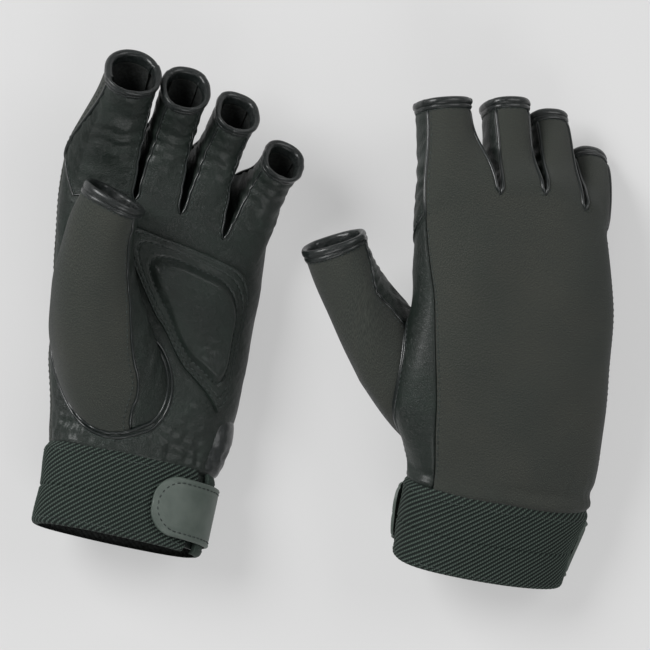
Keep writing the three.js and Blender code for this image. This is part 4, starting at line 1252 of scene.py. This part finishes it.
def make_patch(glove, hand):
    name = glove["name"]
    rings, distance, angle, level = patch_grid(PAD_LEVELS + EDGE_LEVELS)
    raised = PAD * 1.15 * smoothstep(1 - level, 0, 0.16) + PAD_DOME * smoothstep(1 - level, 0.1, 1)
    groove = -sum(depth * hump(level, at, GROOVE_WIDTH) for at, depth in PATCH_GROOVES)
    edge = -PATCH_EDGE_DEPTH * smoothstep(level, 1.93, 2.0) ** 2
    top, _ = hand.at(angle, distance, PATCH_BASE + LEATHER + raised + groove + edge)
    bottom, _ = hand.at(angle, distance, 0.15)
    points, faces, kinds = capped_shell(top, bottom)
    uv = np.tile(rings.reshape(-1, 2) * PATCH_SIZE / UV_SCALE, (2, 1))
    faces = outward_faces(points, faces)
    made = make_object(f"{name}_palm_patch_leather", points, faces, skins_of("leather"), kinds, uv)
    attach(made, glove, "leather", ["palm_patch"])

    _, distance, angle, level = patch_grid(PAD_LEVELS)
    top, _ = hand.at(angle, distance, 0.3 + PAD * smoothstep(1 - level, 0, 0.2))
    bottom, _ = hand.at(angle, distance, 0.2)
    points, faces, _ = capped_shell(top, bottom)
    filling = make_object(f"{name}_palm_pad_foam", points, outward_faces(points, faces), [MATERIALS["foam"]])
    attach(filling, glove, "foam", ["palm_pad"])

    rows = []
    for at, _ in PATCH_GROOVES:
        ring = patch_ring(at)
        distance, angle = patch_place(*np.concatenate([ring, ring[:1]]).T)
        rows.append(hand.at(angle, distance, PATCH_BASE + LEATHER - 0.12))
    attach(stitches(f"{name}_palm_stitches", rows), glove, "leather")


# ---- the cuff, its tab and what lies under it ----
CUFF_STITCH = 2.6  # from either edge of the cuff
GUSSET = {"thickness": 0.9, "sunk": 2.7, "wider": 0.7, "bottom": 2, "top": 1}
BULGE_THICKNESS = 1.2


def make_cuff(glove):
    name = glove["name"]
    skin = cuff_skin(glove)
    angles, lengths = arc_lengths(glove)
    start, end = np.interp([VENT[1], VENT[0] + 2 * math.pi], angles, lengths)
    around = spaced(start, end, end - start, CUFF_STEP)
    columns = np.interp(around, lengths, angles)
    distances = spaced(-CUFF_LENGTH, 1.2, CUFF_LENGTH, CUFF_STEP)
    u, v = np.meshgrid(columns, distances)
    flat = np.stack(np.broadcast_arrays(around[None, :] * rib_side(glove), v), -1)
    band = ("band", 1 - past_band(around[None, :] - start + 0 * v))
    label = f"{name}_cuff_webbing"
    made = panel(label, skin, u, v, WEBBING, "webbing", rolled="uv", depth=1.2, flat=flat, values=band)
    attach(made, glove, "webbing", ["cuff_elastic"])
    rows = [skin.at(columns[4:-4:6], distance, 0.1) for distance in (-CUFF_STITCH, CUFF_STITCH - CUFF_LENGTH)]
    attach(stitches(f"{name}_cuff_stitches", rows), glove, "webbing")

    wider = (VENT[1] - VENT[0]) * GUSSET["wider"]
    low, high = GUSSET["bottom"] - CUFF_LENGTH, -GUSSET["top"]
    u, v = np.meshgrid(spaced(VENT[0] - wider, VENT[1] + wider, 16), spaced(low, high, high - low))
    thickness, lift = GUSSET["thickness"], -GUSSET["sunk"]
    gusset = panel(f"{name}_vent_gusset", skin, u, v, thickness, "leather", rolled="", lift=lift)
    attach(gusset, glove, "leather")


def make_vent_bulge(glove, hand):
    """The slack of the vent's gusset, which swells out above the cuff between the palm's edge and the back."""
    x, y = np.meshgrid(spaced(-1, 1, 26), spaced(-1, 1, 30))
    angle = mix(*VENT_BULGE["angles"], (x + 1) / 2)
    distance = mix(*VENT_BULGE["distances"], (y + 1) / 2)
    swell = (1 - x**2) * (1 - y**2) ** 0.7
    lift = (VENT_BULGE["height"] + BULGE_THICKNESS) * swell - BULGE_THICKNESS
    name = f"{glove['name']}_vent_bulge"
    made = panel(name, hand, angle, distance, BULGE_THICKNESS, "binding", rolled="", lift=lift)
    attach(made, glove, "leather")


TAB_STITCH = 2.3  # from the tab's edge
TAB_SHELF = 2 * LAYER_GAP + HOOK - 0.5  # the tab's underside over the cuff's plain surface
TAB_RIM = ((0.25, 1.0, 0.7), (-0.3, 2.3, 0.35))  # (height, distance from the edge, width)


def tab_arrays(glove, margin, root_share, extra):
    """Angle and distance arrays over the cuff for the tab, or for what lies inside its edge by a margin.

    root_share is where it starts between the tab's root and its end, and extra is an angle added to that.
    """
    arm = glove["wrist_half_width"]
    start = mix(TAB_ROOT, glove["tab_reach"], root_share) + extra
    end = glove["tab_reach"] + margin / arm
    half = TAB_WIDTH / 2 - margin
    count = int(abs(end - start) * arm / 0.9)
    share = np.sin(np.linspace(0, 1, count) * math.pi / 2)[:, None]
    angle = mix(start, end, share)
    from_end = np.minimum(np.abs(angle - end) * arm, TAB_END_RADIUS)
    rounding = np.sqrt(1 - (1 - from_end / TAB_END_RADIUS) ** 2)
    reach = mix(half - min(TAB_END_RADIUS, half), half, rounding) + 0.5
    across = spaced(-1, 1, 2 * half)[None, :]
    return angle + 0 * across, reach * across - CUFF_LENGTH / 2


def strap_span(glove):
    angles = TAB_ROOT + np.array([0.02, -0.16])
    return lay_down(glove, hand_point(glove, -CUFF_LENGTH / 2, angles), glove["under"])


def make_strap(glove):
    name = glove["name"]
    skin = cuff_skin(glove, plain=True)
    span = strap_span(glove)
    angle, distance = tab_arrays(glove, 0, 0, 0.28)
    from_edge = TAB_WIDTH / 2 + 0.5 - np.abs(distance + CUFF_LENGTH / 2)
    rim = sum(height * hump(from_edge, at, width) for height, at, width in TAB_RIM)
    sunk = -1.3 * smoothstep(angle, TAB_ROOT - 0.02, TAB_ROOT + 0.25)
    lift = TAB_SHELF + TAB + rim + sunk
    tab = panel(f"{name}_tab", skin, angle, distance, TAB, "tab", rolled="uw", depth=0.7, lift=lift)
    bend(tab, glove, "strap", "tab", span, ["strap_tab"])

    angle, distance = tab_arrays(glove, HOOK_MARGIN, 0.35, 0)
    lift = TAB_SHELF - 0.15
    hook = panel(f"{name}_hooks", skin, angle, distance, HOOK - 0.3, "hook", rolled="", lift=lift)
    bend(hook, glove, "strap", "hook", span, ["strap_hook_patch"])

    angle, distance = tab_arrays(glove, TAB_STITCH, 0, 0.1)
    edge = [np.concatenate([grid[:, 0], grid[-1], grid[::-1, -1]]) for grid in (angle, distance)]
    threads = stitches(f"{name}_tab_stitches", [skin.at(*edge, TAB_SHELF + TAB + 0.05)])
    bend(threads, glove, "strap", "tab", span)


def make_hand_stitches(glove, skin):
    """Rows along both edges of the back panel."""
    share = np.linspace(0.05, 0.97, 120)
    rows = []
    for column in (0.18, BACK_END - 0.18):
        angle = hand_angle(glove, share * HAND_LENGTH, column)
        rows.append(skin.at(angle, share * crotch_distance(column), 0.1))
    attach(stitches(f"{glove['name']}_back_stitches", rows), glove, "neoprene")


def make_glove(glove):
    skin = hand_skin(glove)
    make_hand(glove, skin)
    make_hand_stitches(glove, skin)
    make_patch(glove, skin)
    make_cuff(glove)
    if glove["palm_up"]:
        make_vent_bulge(glove, skin)
    make_strap(glove)
    for k in range(len(FINGERS)):
        make_finger(glove, k)
    make_thumb(glove, skin)


def layout_offset(glove):
    """What carries layout millimetres to the row frame, from where the CAD part's cuff is."""
    angles = np.linspace(VENT[1], VENT[0] + 2 * math.pi, CAD_CUFF_STEPS + 1)[None, :]
    rows = np.array([-CUFF_LENGTH, -CUFF_LENGTH / 2, 0])[:, None]
    ring = lay_down(glove, hand_point(glove, rows, angles), glove["under"]).reshape(-1, 3)
    low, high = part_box(f"{glove['name']}_cuff_elastic")
    middle = (np.array(low) + np.array(high)) / 2 / MM
    offset = middle - (ring.min(0) + ring.max(0)) / 2
    return np.array([offset[0], offset[1], 0])


for each in GLOVES:
    each["height"] = resting_height(each)
OFFSET = layout_offset(GLOVES[1])
for each in GLOVES:
    make_glove(each)

# ---- floor, light and camera (metres and watts) ----
VIEW_WIDTH = 0.2795  # what the camera sees at the height of the view plane
CAMERA_HEIGHT = 2.4
VIEW_PLANE = 0.035
SENSOR = 36
FLOOR_SIZE = 12
FLOOR_DROP = 0.0002
FLOOR_SHADE = 0.27
FLOOR_GLOW = 0.42  # keeps the shadows pale
WORLD_STRENGTH = 0.2
LIGHTS = (
    ("key", (-1.3, 0.9, 1.5), 1.1, 44),
    ("right", (1.5, 0.7, 1.4), 1.3, 15),
    ("front", (0.3, -1.7, 1.4), 1.3, 15),
)


def make_floor():
    bpy.ops.mesh.primitive_plane_add(size=FLOOR_SIZE, location=(0, 0, -FLOOR_DROP))
    floor = bpy.context.object
    floor.name = "floor"
    paper = Nodes("paper", [FLOOR_SHADE] * 3, 1.0)
    paper.set("Specular IOR Level", 0.0)
    paper.set("Emission Color", (1, 1, 1, 1))
    paper.set("Emission Strength", FLOOR_GLOW)
    floor.data.materials.append(paper.material)


def area_light(name, place, size, power):
    data = bpy.data.lights.new(name, "AREA")
    data.shape, data.size, data.energy = "DISK", size, power
    lamp = bpy.data.objects.new(name, data)
    lamp.location = place
    lamp.rotation_euler = (-Vector(place)).to_track_quat("-Z", "Y").to_euler()
    bpy.context.scene.collection.objects.link(lamp)


def make_camera():
    data = bpy.data.cameras.new("camera")
    data.sensor_width = SENSOR
    data.lens = SENSOR * (CAMERA_HEIGHT - VIEW_PLANE) / VIEW_WIDTH
    data.clip_end = 20
    camera = bpy.data.objects.new("camera", data)
    camera.location = (OFFSET[0] * MM, OFFSET[1] * MM, CAMERA_HEIGHT)
    bpy.context.scene.collection.objects.link(camera)
    bpy.context.scene.camera = camera


def make_world():
    world = bpy.data.worlds.new("studio")
    world.use_nodes = True
    sky = world.node_tree.nodes["Background"].inputs
    sky["Color"].default_value = (1, 1, 1, 1)
    sky["Strength"].default_value = WORLD_STRENGTH
    bpy.context.scene.world = world
    bpy.context.scene.view_settings.view_transform = "Standard"


make_floor()
for name, place, size, power in LIGHTS:
    area_light(name, place, size, power)
make_camera()
make_world()
